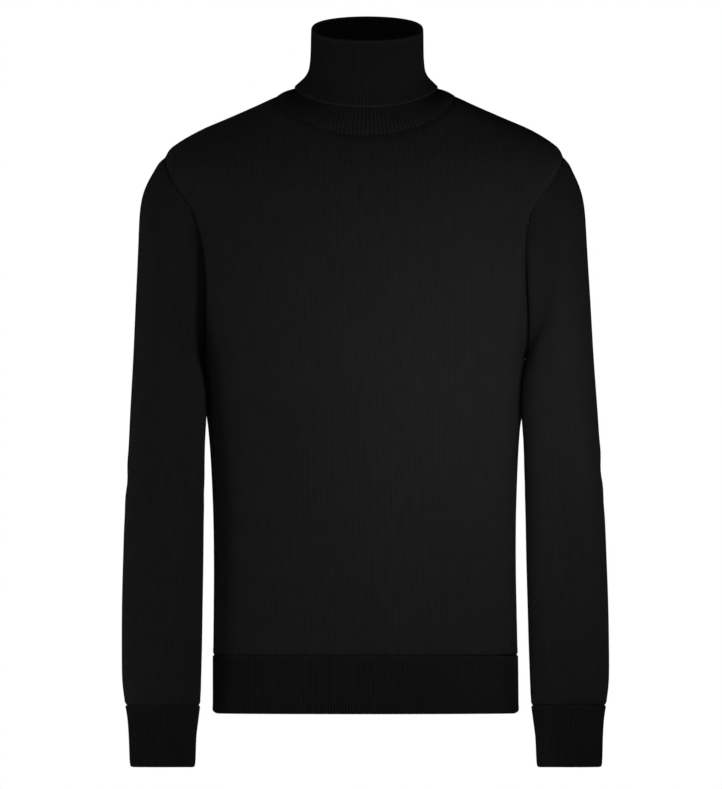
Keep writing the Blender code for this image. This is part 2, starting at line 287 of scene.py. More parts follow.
class Profile:
    """Sizes that change smoothly from row to row of a short table."""

    def __init__(self, rows: tuple, key: str, falling: bool) -> None:
        """Reads the table.

        Args:
            rows: The table's dataclass rows.
            key: The column that the others are read against.
            falling: Whether the key falls from row to row.
        """
        self.sign = -1.0 if falling else 1.0
        self.key = self.sign * np.array([getattr(row, key) for row in rows])
        self.columns = {
            each.name: np.array([getattr(row, each.name) for row in rows])
            for each in fields(rows[0])
        }

    def read(self, column: str, place: np.ndarray | float) -> np.ndarray:
        """Reads a column on a smooth curve through the rows.

        Args:
            column: The column's name.
            place: Where to read, as a value of the key column.

        Returns:
            The column's value at each place.
        """
        values = self.columns[column]
        slopes = np.empty_like(values)
        slopes[1:-1] = (values[2:] - values[:-2]) / (self.key[2:] - self.key[:-2])
        slopes[0] = (values[1] - values[0]) / (self.key[1] - self.key[0])
        slopes[-1] = (values[-1] - values[-2]) / (self.key[-1] - self.key[-2])
        at = np.clip(self.sign * np.asarray(place, float), self.key[0], self.key[-1])
        low = np.clip(np.searchsorted(self.key, at, side="right") - 1, 0, len(values) - 2)
        span = self.key[low + 1] - self.key[low]
        t = (at - self.key[low]) / span
        return hermite(values[low], values[low + 1], slopes[low] * span, slopes[low + 1] * span, t)


def hermite(start: np.ndarray, end: np.ndarray, leave: np.ndarray, arrive: np.ndarray,
            t: np.ndarray) -> np.ndarray:
    """A smooth curve between two values with given slopes.

    Args:
        start: The value at 0.
        end: The value at 1.
        leave: The slope at 0.
        arrive: The slope at 1.
        t: Where to read, from 0 to 1.

    Returns:
        The value there.
    """
    rise = 3 * t**2 - 2 * t**3
    return start * (1 - rise) + end * rise + leave * (t**3 - 2 * t**2 + t) + arrive * (t**3 - t**2)


@dataclass
class WornForm:
    """The filled-out shape that the body panels lie on."""

    armhole_front: float = 0.0620
    armhole_back: float = 0.0640
    arc_steps: int = 32
    probe: float = 0.0005
    sections: Profile = field(default_factory=lambda: Profile(TORSO_SECTIONS, "height", True))
    rows: Profile = field(default_factory=lambda: Profile(PANEL_ROWS, "place", False))
    leaning: Profile = field(default_factory=lambda: Profile(LEAN, "height", True))

    def lean(self, points: np.ndarray, way: float = 1.0) -> np.ndarray:
        """Shifts points sideways by the garment's lean at their heights, or back."""
        shift = self.leaning.read("shift", points[..., 2]) * way
        return points + shift[..., None] * np.array([1.0, 0.0, 0.0])

    def depth(self, x: np.ndarray, z: np.ndarray, face: Face) -> np.ndarray:
        """Depth of the upright form in front or behind.

        Args:
            x: Distances from the middle.
            z: Heights.
            face: Which half.

        Returns:
            The depth at each place.
        """
        width = self.sections.read("half_width", z)
        power = self.sections.read("squareness", z)
        ratio = np.minimum(np.abs(x) / width, 1.0)
        return self.sections.read(face.column, z) * (1 - ratio**power) ** (1 / power)

    def normals(self, points: np.ndarray) -> np.ndarray:
        """Outward unit normals of the leaning form.

        Args:
            points: Places on the form or near it.

        Returns:
            The normals, one for each point.
        """
        return unit(np.stack([
            self.level(points + step) - self.level(points - step) for step in np.eye(3) * self.probe
        ], -1))

    def level(self, points: np.ndarray) -> np.ndarray:
        """A number that is 1 on the form, less inside it and more outside.

        Args:
            points: Places on the leaning form or near it.

        Returns:
            The number at each place.
        """
        x, y, z = np.moveaxis(np.abs(self.lean(points, -1.0)), -1, 0)
        z = points[..., 2]
        front, back = self.sections.read("front", z), self.sections.read("back", z)
        power = self.sections.read("squareness", z)
        across = x / self.sections.read("half_width", z)
        return across**power + (y / np.where(points[..., 1] < 0, front, back)) ** power

    def armhole_point(self, turn: np.ndarray, face: Face) -> np.ndarray:
        """Points of the upright form's armhole on +X.

        Args:
            turn: Angle from the shoulder tip (0) to the underarm (pi).
            face: The panel whose edge is asked for.

        Returns:
            The points, one for each angle.
        """
        z = (SHOULDER_TIP + UNDERARM) / 2 + (SHOULDER_TIP - UNDERARM) / 2 * np.cos(turn)
        reach = self.armhole_front if face is Face.FRONT else self.armhole_back
        y = reach * np.sin(turn)
        power = self.sections.read("squareness", z)
        ratio = np.clip(y / self.sections.read(face.column, z), 0.0, 1.0)
        x = self.sections.read("half_width", z) * (1 - ratio**power) ** (1 / power)
        return np.stack([x, face.value * y, z], -1)

    def edge(self, place: np.ndarray, face: Face) -> tuple[np.ndarray, np.ndarray]:
        """Distance from the middle and height of a panel's side edge.

        Args:
            place: Places down the panel, from the neck (0) to the hem seam.
            face: Which panel.

        Returns:
            The distances and the heights.
        """
        height = self.rows.read("edge", place)
        width = self.sections.read("half_width", height)
        span = UNDERARM_PLACE - SHOULDER_PLACE
        turn = np.clip((place - SHOULDER_PLACE) / span, 0.0, 1.0) * math.pi
        arm = self.armhole_point(turn, face)
        inside = (place > SHOULDER_PLACE) & (place < UNDERARM_PLACE)
        return np.where(inside, arm[..., 0], width), np.where(inside, arm[..., 2], height)

    def panel(self, place: np.ndarray, share: np.ndarray, face: Face) -> np.ndarray:
        """A grid of points on a body panel.

        Args:
            place: Places down the panel, one for each row.
            share: Shares of the half width, from -1 to 1, one for each column.
            face: Which panel.

        Returns:
            The points, as rows by columns by 3.
        """
        width, height = (value[:, None] for value in self.edge(place, face))
        centre = self.rows.read(face.column + "_centre", place)[:, None]
        full = self.sections.read("half_width", height)
        reach = np.arcsin(np.clip(width / full, 0.0, 1.0))
        ratio = np.sin(reach * share) / np.sin(reach)
        x = width * ratio
        z = height + (centre - height) * np.clip(1 - ratio**2, 0.0, 1.0) ** (NECK_CURVE / 2)
        return self.lean(np.stack([x, face.value * self.depth(x, z, face), z], -1))

    def neckline(self, turn: np.ndarray) -> np.ndarray:
        """The neck seam's points.

        Args:
            turn: Turns from the front (0) round to the left (pi/2) and on.

        Returns:
            The points, one for each turn.
        """
        ahead = np.cos(turn)
        across = np.arcsin(np.clip(np.sin(turn), -1.0, 1.0)) / (math.pi / 2)
        start = np.zeros(1)
        front = self.panel(start, across, Face.FRONT)[0]
        back = self.panel(start, across, Face.BACK)[0]
        return np.where((ahead >= 0)[:, None], front, back)

    def slice_arc(self, points: np.ndarray, face: Face) -> np.ndarray:
        """Length of cloth from the centre line to each point, along a level slice.

        Args:
            points: Places on the leaning form.
            face: The half that they are on.

        Returns:
            The lengths, negative on the wearer's right.
        """
        x, z = self.lean(points, -1.0)[..., 0], points[..., 2]
        width = self.sections.read("half_width", z)[..., None]
        power = self.sections.read("squareness", z)[..., None]
        depth = self.sections.read(face.column, z)[..., None]
        turn = np.arcsin(np.clip(np.abs(x)[..., None] / width, 0.0, 1.0))
        step = np.sin(turn * np.linspace(0, 1, self.arc_steps + 1))
        y = depth * (1 - step**power) ** (1 / power)
        arc = np.hypot(np.diff(width * step, axis=-1), np.diff(y, axis=-1)).sum(-1)
        return np.sign(x) * arc


# --- Grids of points --------------------------------------------------------------------------


def unit(ways: np.ndarray) -> np.ndarray:
    """Brings each direction to a length of one."""
    return ways / np.maximum(np.linalg.norm(ways, axis=-1, keepdims=True), 1e-12)


def smooth_rows(rings: np.ndarray, steps: int, near: tuple[float, ...] = ()) -> np.ndarray:
    """Rows on smooth curves through rings, evenly between them and closer beside both ends.

    Args:
        rings: The rings' points, as rings by columns by 3.
        steps: How many rows each gap between rings becomes.
        near: Places of extra rows beside each end, as shares of its gap.

    Returns:
        The rows, the first and last rings among them.
    """
    last = len(rings) - 1
    extra = np.array(near)
    even = np.linspace(0, last, last * steps + 1)
    places = np.unique(np.concatenate([even, extra, last - extra]))
    slopes = np.gradient(rings, axis=0)
    low = np.minimum(places.astype(int), last - 1)
    t = (places - low)[:, None, None]
    return hermite(rings[low], rings[low + 1], slopes[low], slopes[low + 1], t)


def length_along(points: np.ndarray, axis: int) -> np.ndarray:
    """Length of the way through a grid's points along one axis, from its first point.

    Args:
        points: The grid, or a single line of points.
        axis: The axis to follow.

    Returns:
        The length at each point.
    """
    steps = np.linalg.norm(np.diff(points, axis=axis), axis=-1)
    lead = np.zeros_like(np.take(steps, [0], axis=axis))
    return np.concatenate([lead, np.cumsum(steps, axis=axis)], axis=axis)


def nearest_on(line: np.ndarray, points: np.ndarray) -> tuple[np.ndarray, np.ndarray]:
    """Finds each point's nearest place on a line.

    Args:
        line: The line's points in order.
        points: A grid of points, as rows by columns by 3.

    Returns:
        Their distances from the line, and the nearest places on it.
    """
    fine = np.linspace(0, len(line) - 1, (len(line) - 1) * LINE_STEPS + 1)
    places = np.stack([np.interp(fine, np.arange(len(line)), axis) for axis in line.T], -1)
    tree = KDTree(len(places))
    for index, place in enumerate(places):
        tree.insert(place, index)
    tree.balance()
    found = [tree.find(point)[1:] for point in points.reshape(-1, 3)]
    index, distance = (np.array(each).reshape(points.shape[:2]) for each in zip(*found))
    return distance, places[index]


def smooth_step(value: np.ndarray, low: float, high: float) -> np.ndarray:
    """Rises smoothly from 0 to 1 as a value goes from a low to a high limit."""
    share = np.clip((value - low) / (high - low), 0.0, 1.0)
    return share * share * (3 - 2 * share)


def soften(points: np.ndarray, freedom: np.ndarray, rounds: int) -> np.ndarray:
    """Evens out a tube's bends without drawing it in.

    Args:
        points: The tube's grid, its last column lying on its first.
        freedom: How freely each point moves, from 0 to 1.
        rounds: How often each point moves towards its neighbours.

    Returns:
        The softened grid.
    """
    def spread(grid: np.ndarray) -> np.ndarray:
        """Moves each point towards the mean of its neighbours, round after round.

        Args:
            grid: The grid to even out.

        Returns:
            The evened grid.
        """
        for _ in range(rounds):
            wrapped = np.concatenate([grid[:, -2:-1], grid, grid[:, 1:2]], axis=1)
            mean = (wrapped[:, 2:] + wrapped[:, :-2]) / 4
            mean[1:-1] += (grid[2:] + grid[:-2]) / 4
            mean[[0, -1]] += grid[[0, -1]] / 2
            grid = grid + freedom * (mean - grid)
        return grid

    once = spread(points)
    return once - spread(once - points)


def tube_normals(points: np.ndarray) -> np.ndarray:
    """Outward unit normals of a tube whose last column lies on its first.

    Args:
        points: The tube's grid, as rows by columns by 3.

    Returns:
        The normals, in the grid's shape.
    """
    down = np.gradient(points, axis=0)
    wrapped = np.concatenate([points[:, -2:-1], points, points[:, 1:2]], axis=1)
    normals = unit(np.cross((wrapped[:, 2:] - wrapped[:, :-2]) / 2, down))
    away = ((points - points.mean(1, keepdims=True)) * normals).sum()
    return normals if away > 0 else -normals


def even_turns(loop: Callable[[np.ndarray], np.ndarray], columns: int) -> np.ndarray:
    """Angles at which a loop's points stand evenly spaced round it.

    Args:
        loop: Gives the loop's points for an array of angles.
        columns: How many equal steps go round.

    Returns:
        The angles, from -pi to pi.
    """
    fine = np.linspace(-math.pi, math.pi, columns * 8 + 1)
    around = length_along(loop(fine), 0)
    return np.interp(np.linspace(0, around[-1], columns + 1), around, fine)


# --- Seams and creases ------------------------------------------------------------------------


@dataclass(frozen=True)
class Seam:
    """How cloth sinks into a linked seam and rolls up a little beside it."""

    depth: float
    width: float
    roll: float
    roll_place: float = 2.6
    roll_width: float = 1.2

    def sink(self, distance: np.ndarray) -> np.ndarray:
        """How far the seam moves cloth along its normal.

        Args:
            distance: How far each point is from the seam.

        Returns:
            The moves, negative into the cloth.
        """
        dip = self.depth * np.exp(-((distance / self.width) ** 2))
        beside = (distance / self.width - self.roll_place) / self.roll_width
        return self.roll * np.exp(-(beside**2)) - dip


NECK_SEAM = Seam(depth=0.0018, width=0.0045, roll=0.0003)
SHOULDER_SEAM = Seam(depth=0.0004, width=0.0022, roll=0.0001)
ARMHOLE_SEAM = Seam(depth=0.0014, width=0.0048, roll=0.0004)
SIDE_SEAM = Seam(depth=0.0003, width=0.0020, roll=0.0001)
HEM_LINE = Seam(depth=0.0011, width=0.0017, roll=0.0003)
CUFF_LINE = Seam(depth=0.0010, width=0.0018, roll=0.0003)


def neck_share(seam: np.ndarray) -> np.ndarray:
    """How much of the neck seam's depth shows: less at the sides, where the shoulders begin."""
    ahead = smooth_step(np.abs(seam[..., 1]), *NECK_SIDE_DEPTHS)
    return NECK_SIDE_SHARE + (1 - NECK_SIDE_SHARE) * ahead


@dataclass(frozen=True)
class Crevice:
    """The deep soft fold between body and sleeve, along the lower part of an armhole."""

    depth: float
    width: float
    turned_back: float
    back_share: float = 0.75
    back_start: float = 0.02
    top: float = -0.112
    full: float = -0.215
    fade: float = -0.262
    low_share: float = 0.05

    def press(self, form: WornForm, seam: np.ndarray, distance: np.ndarray) -> np.ndarray:
        """How far the fold moves cloth.

        Args:
            form: The worn form.
            seam: The nearest place on the armhole, for each point.
            distance: How far that is.

        Returns:
            The moves, as one vector for each point.
        """
        way = unit(form.normals(seam) * np.array([self.turned_back, 1.0, self.turned_back]))
        z, y = seam[..., 2], seam[..., 1]
        deep = smooth_step(-z, -self.top, -self.full)
        deep *= 1 - (1 - self.low_share) * smooth_step(-z, -self.fade, -UNDERARM)
        deep *= 1 - (1 - self.back_share) * smooth_step(y, -self.back_start, self.back_start)
        move = self.depth * deep * np.exp(-((distance / self.width) ** 2))
        return -way * move[..., None]


CREVICES = {
    1: Crevice(depth=0.0150, width=0.0036, turned_back=-0.20),
    -1: Crevice(depth=0.0130, width=0.0085, turned_back=0.10),
}


@dataclass(frozen=True)
class Crease:
    """A soft trough in the cloth, or a ridge if its depth is negative.

    It follows a curve through three places in space and fades out towards both ends.
    """

    start: tuple[float, float, float]
    middle: tuple[float, float, float]
    end: tuple[float, float, float]
    width: float
    depth: float
    shoulder_share: float = 0.4
    samples: int = 24
    shoulder_place: float = 1.9

    def press(self, points: np.ndarray) -> np.ndarray:
        """How far the crease moves each point along its normal.

        Args:
            points: A grid of points.

        Returns:
            The moves, in the grid's shape.
        """
        t = np.linspace(0, 1, self.samples)[:, None]
        start, middle, end = (np.array(p) for p in (self.start, self.middle, self.end))
        pull = 2 * middle - (start + end) / 2
        curve = (1 - t) ** 2 * start + 2 * t * (1 - t) * pull + t**2 * end
        way = np.diff(curve, axis=0)
        away = points[..., None, :] - curve[:-1]
        along = np.clip((away * way).sum(-1) / (way**2).sum(-1), 0.0, 1.0)
        gaps = np.linalg.norm(away - along[..., None] * way, axis=-1)
        nearest = gaps.argmin(-1)[..., None]
        place = (nearest + np.take_along_axis(along, nearest, -1))[..., 0] / (self.samples - 1)
        distance = gaps.min(-1) / self.width
        beside = np.exp(-((distance - self.shoulder_place) ** 2)) * self.shoulder_share
        return self.depth * np.sin(np.pi * place) * (beside - np.exp(-(distance**2)))


# --- Meshes -----------------------------------------------------------------------------------


def cloth_from_grid(name: str, points: np.ndarray, uv: np.ndarray, normals: np.ndarray,
                    beads: np.ndarray | None = None) -> bpy.types.Object:
    """Makes a mesh by moving the points of a flat grid onto a grid of places.

    Args:
        name: The piece's name.
        points: The places, as rows by columns by 3.
        uv: Where each place lies on the knitted cloth, in metres across and up.
        normals: Unit normals that the faces must agree with.
        beads: For each row, how much it belongs to a smooth linked edge with a painted highlight.

    Returns:
        The new object.
    """
    rows, columns = points.shape[:2]
    mesh = bmesh.new()
    bmesh.ops.create_grid(mesh, x_segments=columns - 1, y_segments=rows - 1, size=1.0)
    mesh.verts.ensure_lookup_table()
    layer = mesh.loops.layers.uv.new(KNIT_UV)
    place = {}
    for vertex in mesh.verts:
        column = round((vertex.co.x + 1) / 2 * (columns - 1))
        row = round((vertex.co.y + 1) / 2 * (rows - 1))
        place[vertex.index] = (row, column)
    for face in mesh.faces:
        for loop in face.loops:
            loop[layer].uv = uv[place[loop.vert.index]]
    # Each vertex keeps the bead mask as an attribute, which the knits read to paint a highlight.
    bead_highlight = mesh.verts.layers.float.new(BEAD_HIGHLIGHT)
    for vertex in mesh.verts:
        row, column = place[vertex.index]
        vertex.co = points[row, column]
        vertex[bead_highlight] = 0.0 if beads is None else beads[row]
    mesh.normal_update()
    agree = sum(v.normal.dot(Vector(normals[place[v.index]])) for v in mesh.verts)
    if agree < 0:
        bmesh.ops.reverse_faces(mesh, faces=mesh.faces)
    bmesh.ops.remove_doubles(mesh, verts=mesh.verts, dist=WELD)
    data = bpy.data.meshes.new(name)
    mesh.to_mesh(data)
    mesh.free()
    data.shade_smooth()
    piece = bpy.data.objects.new(name, data)
    bpy.context.scene.collection.objects.link(piece)
    return piece


def thicken(piece: bpy.types.Object) -> None:
    """Gives an open sheet its wall, on the wrong side.

    Args:
        piece: The sheet.
    """
    wall = piece.modifiers.new("Wall", "SOLIDIFY")
    wall.thickness = WALL
    wall.offset = -1.0
    wall.use_rim = True


class RibTube:
    """The closed section of a rib tube's wall, laid row by row round it."""

    def __init__(self) -> None:
        """Starts with no rows."""
        self.rows: list[np.ndarray] = []
        self.facing: list[np.ndarray] = []
        self.relief: list[float] = []
        self.beads: list[float] = []

    def lay(self, points: np.ndarray, facing: np.ndarray, relief: float,
            beads: np.ndarray | float = 0.0) -> None:
        """Adds rows of one side of the wall.

        Args:
            points: The rows' points.
            facing: Their unit normals, out of the cloth.
            relief: The share of the ribs' height that they take.
            beads: How much each row belongs to a smooth linked edge with a painted highlight.
        """
        beads = np.broadcast_to(beads, len(points))
        self.rows.extend(points)
        self.facing.extend(facing)
        self.relief.extend(relief * (1 - BEAD_FLAT * beads))
        self.beads.extend(beads)

    def bend(self, centre: np.ndarray, start: np.ndarray, over: np.ndarray, radius: float,
             steps: int, relief: float, bead_highlight: float = 0.0) -> None:
        """Adds rows round a half circle, such as a fold or a free edge.

        Args:
            centre: The half circle's middle, for each column.
            start: The unit direction that it starts from.
            over: The unit direction that it passes over.
            radius: Its radius.
            steps: How many steps it takes.
            relief: The share of the ribs' height that its rows take.
            bead_highlight: How much its rows belong to a smooth linked edge with a painted highlight.
        """
        for turn in np.linspace(0, math.pi, steps + 1)[1:-1]:
            way = start * math.cos(turn) + over * math.sin(turn)
            self.lay([centre + way * radius], [way], relief, bead_highlight)

    def close(self, name: str, turn: np.ndarray, ribs: int, height: float) -> bpy.types.Object:
        """Raises the ribs, joins the last row to the first and makes the mesh.

        Args:
            name: The piece's name.
            turn: The share of the way round at each column, from 0 to 1.
            ribs: How many ribs go round.
            height: The ribs' height from hollow to crown.

        Returns:
            The finished tube.
        """
        rows, facing = np.array(self.rows), np.array(self.facing)
        wave = RIB_RAISE - np.cos(2 * math.pi * ribs * turn) / 2
        beads = np.array(self.beads)
        lift = np.array(self.relief)[:, None] * wave * height + beads[:, None] * BEAD_RAISE
        raised = rows + facing * lift[..., None]
        raised = np.concatenate([raised, raised[:1]])
        facing = np.concatenate([facing, facing[:1]])
        around = np.broadcast_to(turn * ribs * RIB_PITCH, raised.shape[:2])
        along = np.broadcast_to(-length_along(raised, 0).mean(1)[:, None], raised.shape[:2])
        beads = np.append(beads, beads[0])
        return cloth_from_grid(name, raised, np.stack([around, along], -1), facing, beads)


# --- Materials --------------------------------------------------------------------------------


class NodeBench:
    """Adds and joins shader nodes in one tree."""

    def __init__(self, tree: bpy.types.NodeTree) -> None:
        """Keeps the tree to work in."""
        self.tree = tree

    def add(self, kind: str, **settings: object) -> bpy.types.Node:
        """Adds a node and sets its properties.

        Args:
            kind: The node's type.
            **settings: Its properties.

        Returns:
            The node.
        """
        node = self.tree.nodes.new(kind)
        for name, value in settings.items():
            setattr(node, name, value)
        return node

    def feed(self, socket: bpy.types.NodeSocket, value: object) -> None:
        """Links an output to an input socket, or sets the input to a plain value.

        Args:
            socket: The input.
            value: A node's output, or a plain value.
        """
        if isinstance(value, bpy.types.NodeSocket):
            self.tree.links.new(value, socket)
        else:
            socket.default_value = value

    def math(self, operation: str, first: object, second: object = 0.0,
             third: object = 0.0) -> bpy.types.NodeSocket:
        """Adds a Math node.

        Args:
            operation: What it does.
            first: Its first input, an output or a number.
            second: Its second input.
            third: Its third input.

        Returns:
            Its result.
        """
        node = self.add("ShaderNodeMath", operation=operation)
        for socket, value in zip(node.inputs, (first, second, third)):
            self.feed(socket, value)
        return node.outputs[0]

    def ramp(self, value: object, low: float, high: float) -> bpy.types.NodeSocket:
        """Turns values from a low to a high limit into shares from 0 to 1.

        Args:
            value: The values.
            low: The value that becomes 0.
            high: The value that becomes 1.

        Returns:
            The shares.
        """
        node = self.add("ShaderNodeMapRange")
        for socket, number in zip(node.inputs, (value, low, high)):
            self.feed(socket, number)
        return node.outputs[0]

    def grain(self, place: bpy.types.NodeSocket, scale: float,
              detail: float) -> bpy.types.NodeSocket:
        """Adds a soft random grain.

        Args:
            place: Where it is read.
            scale: Its fineness.
            detail: How many finer grains it holds.

        Returns:
            The grain, from 0 to 1.
        """
        noise = self.add("ShaderNodeTexNoise")
        noise.inputs["Scale"].default_value = scale
        noise.inputs["Detail"].default_value = detail
        self.feed(noise.inputs["Vector"], place)
        return self.ramp(noise.outputs[0], *GRAIN_LIMITS)


class KnitGroups:
    """The node groups that all the knits use, made once."""

    number: str = "NodeSocketFloat"
    vector: str = "NodeSocketVector"
    grains: tuple = (("Fibre", 1500.0, 2.0), ("Yarn", 430.0, 2.0), ("Tone", 11.0, 3.0))
    streak_scale: float = 0.8
    streak_detail: float = 2.0
    streak_run: float = 0.1
    leg_slant: float = 0.85
    leg_slope: float = 1.5
    leg_start: float = -0.5
    loop_fall: float = 1.1

    def __init__(self) -> None:
        """Makes the groups."""
        self.stitch = self.stitch_group()
        self.nap = self.nap_group()

    def new(self, name: str, inputs: tuple, outputs: tuple) -> tuple:
        """Makes an empty group with its sockets.

        Args:
            name: The group's name.
            inputs: Pairs of socket name and socket type for the inputs.
            outputs: The names of the outputs, which are numbers.

        Returns:
            The group, a bench on it, its input node and its output node.
        """
        group = bpy.data.node_groups.new(name, "ShaderNodeTree")
        for label, kind in inputs:
            group.interface.new_socket(label, in_out="INPUT", socket_type=kind)
        for label in outputs:
            group.interface.new_socket(label, in_out="OUTPUT", socket_type=self.number)
        bench = NodeBench(group)
        return group, bench, bench.add("NodeGroupInput"), bench.add("NodeGroupOutput")

    def stitch_group(self) -> bpy.types.NodeTree:
        """Columns of small V stitches, from a place on the cloth counted in stitches.

        Returns:
            The group, which puts out a stitch's height and the tone of its wale.
        """
        sockets = (("Across", self.number), ("Along", self.number))
        group, bench, source, result = self.new("KnitStitches", sockets, ("Height", "Streak"))
        inside = bench.math("SUBTRACT", bench.math("FRACT", source.outputs["Across"]), 0.5)
        aside = bench.math("MULTIPLY", bench.math("ABSOLUTE", inside), 2.0)
        slanted = bench.math("MULTIPLY_ADD", aside, self.leg_slant, source.outputs["Along"])
        course = bench.math("SUBTRACT", bench.math("FRACT", slanted), 0.5)
        fall = bench.math("MULTIPLY", bench.math("ABSOLUTE", course), self.loop_fall)
        loop = bench.math("SUBTRACT", 1.0, fall)
        from_leg = bench.math("MULTIPLY_ADD", aside, self.leg_slope, self.leg_start)
        hump = bench.math("SUBTRACT", 1.0, bench.math("MULTIPLY", from_leg, from_leg))
        leg = bench.math("MAXIMUM", hump, 0.0)
        bench.feed(result.inputs["Height"], bench.math("MULTIPLY", leg, loop))
        wale = bench.add("ShaderNodeCombineXYZ")
        bench.feed(wale.inputs[0], source.outputs["Across"])
        bench.feed(wale.inputs[1], bench.math("MULTIPLY", source.outputs["Along"], self.streak_run))
        streak = bench.grain(wale.outputs[0], self.streak_scale, self.streak_detail)
        bench.feed(result.inputs["Streak"], streak)
        return group

    def nap_group(self) -> bpy.types.NodeTree:
        """Short fibres, uneven yarn and slow changes of tone.

        Returns:
            The group.
        """
        labels = tuple(label for label, _, _ in self.grains)
        group, bench, source, result = self.new("WoolNap", (("Place", self.vector),), labels)
        for label, scale, detail in self.grains:
            grain = bench.grain(source.outputs["Place"], scale, detail)
            bench.feed(result.inputs[label], grain)
        return group


@dataclass(frozen=True)
class KnitFinish:
    """A knit's colour, sheen and relief, with painted shade in its stitch hollows."""

    name: str
    slot: str
    # hollow is painted shade: the colour at the bottom of a stitch; crown is the yarn's colour on top.
    hollow: tuple[float, float, float]
    crown: tuple[float, float, float]
    across: float
    along: float
    relief: float
    roughness: float
    sheen: float
    specular: float
    stitch_share: float = 0.90
    streak_share: float = 0.16
    yarn_share: float = 0.08
    fibre_share: float = 0.08
    tone_share: float = 0.05
    # Share by which the bead mask lightens the colour, as a painted highlight.
    bead_share: float = 0.35
    wander: float = 0.12
    sheen_roughness: float = 0.5
    yarn_roughness: float = 0.1
    fibre_rise: float = 0.2
    yarn_rise: float = 0.3

    def make(self, groups: KnitGroups) -> bpy.types.Material:
        """Makes the material.

        Args:
            groups: The node groups that knits share.

        Returns:
            The material.
        """
        material = bpy.data.materials.new(self.name)
        material.use_nodes = True
        bench = NodeBench(material.node_tree)
        shader = material.node_tree.nodes["Principled BSDF"]
        shader.inputs["Sheen Weight"].default_value = self.sheen
        shader.inputs["Sheen Roughness"].default_value = self.sheen_roughness
        shader.inputs["Specular IOR Level"].default_value = self.specular
        place = bench.add("ShaderNodeTexCoord")
        nap = bench.add("ShaderNodeGroup", node_tree=groups.nap)
        bench.feed(nap.inputs["Place"], place.outputs["Object"])
        fibre, yarn, tone = nap.outputs["Fibre"], nap.outputs["Yarn"], nap.outputs["Tone"]
        height, streak = self.stitches(bench, groups, yarn)
        # Painted shade: the colour darkens from crown to hollow by the square of the stitch height; the
        # grains then add random tone.
        shade = bench.math("MULTIPLY", bench.math("MULTIPLY", height, height), self.stitch_share)
        shares = (self.streak_share, self.yarn_share, self.fibre_share, self.tone_share)
        for grain, share in zip((streak, yarn, fibre, tone), shares):
            shade = bench.math("MULTIPLY_ADD", grain, share, shade)
        # Painted highlight: the bead mask lifts the colour towards the crown along linked edges and
        # over the collar's lip.
        bead_highlight = bench.add("ShaderNodeAttribute", attribute_name=BEAD_HIGHLIGHT)
        shade = bench.math("MULTIPLY_ADD", bead_highlight.outputs["Fac"], self.bead_share, shade)
        colour = bench.add("ShaderNodeMix", data_type="RGBA")
        bench.feed(colour.inputs[0], shade)
        colour.inputs[6].default_value = (*self.hollow, 1.0)
        colour.inputs[7].default_value = (*self.crown, 1.0)
        bench.feed(shader.inputs["Base Color"], colour.outputs[2])
        rough = bench.math("MULTIPLY_ADD", yarn, self.yarn_roughness, self.roughness)
        bench.feed(shader.inputs["Roughness"], rough)
        surface = bench.math("MULTIPLY_ADD", fibre, self.fibre_rise, height)
        surface = bench.math("MULTIPLY_ADD", yarn, self.yarn_rise, surface)
        bump = bench.add("ShaderNodeBump")
        bump.inputs["Distance"].default_value = self.relief
        bench.feed(bump.inputs["Height"], surface)
        bench.feed(shader.inputs["Normal"], bump.outputs["Normal"])
        return material

    def stitches(self, bench: NodeBench, groups: KnitGroups,
                 yarn: bpy.types.NodeSocket) -> tuple[bpy.types.NodeSocket, bpy.types.NodeSocket]:
        """Places the stitch group on the cloth.

        Args:
            bench: The material's bench.
            groups: The node groups that knits share.
            yarn: The yarn's unevenness, which lets the wales wander.

        Returns:
            The stitches' height and their wales' tone.
        """
        cloth = bench.add("ShaderNodeUVMap", uv_map=KNIT_UV)
        split = bench.add("ShaderNodeSeparateXYZ")
        bench.feed(split.inputs[0], cloth.outputs[0])
        stitch = bench.add("ShaderNodeGroup", node_tree=groups.stitch)
        across = bench.math("DIVIDE", split.outputs[0], self.across)
        bench.feed(stitch.inputs["Across"], bench.math("MULTIPLY_ADD", yarn, self.wander, across))
        bench.feed(stitch.inputs["Along"], bench.math("DIVIDE", split.outputs[1], self.along))
        return stitch.outputs["Height"], stitch.outputs["Streak"]


JERSEY = KnitFinish(
    name="fine_black_jersey", slot="jersey_knit", hollow=(0.0006, 0.0006, 0.0006),
    crown=(0.0236, 0.0236, 0.0239), across=WALE_PITCH, along=COURSE_PITCH,
    relief=0.0006, roughness=0.82, sheen=0.025, specular=0.12,
)
RIB = KnitFinish(
    name="fine_black_rib", slot="rib_knit", hollow=(0.0005, 0.0005, 0.0005),
    crown=(0.0172, 0.0172, 0.0174), across=RIB_PITCH, along=COURSE_PITCH,
    relief=0.0004, roughness=0.84, sheen=0.02, specular=0.10,
    stitch_share=1.00, streak_share=0.10, yarn_share=0.05, fibre_share=0.05, tone_share=0.04,
)
# Painted shade: the sleeves wear the body's jersey with a darker crown, for the light that falls on
# them.
SHADED_SLEEVE_JERSEY = replace(JERSEY, name="fine_black_sleeve_jersey", crown=(0.0204, 0.0204, 0.0207))
# Painted shade: the hem and cuffs wear the collar's rib with a darker crown, for the light that falls
# on them.
SHADED_BAND = replace(RIB, name="fine_black_band_rib", crown=(0.0152, 0.0152, 0.0154))
FINISHES = (JERSEY, SHADED_SLEEVE_JERSEY, RIB, SHADED_BAND)


# --- The pieces -------------------------------------------------------------------------------


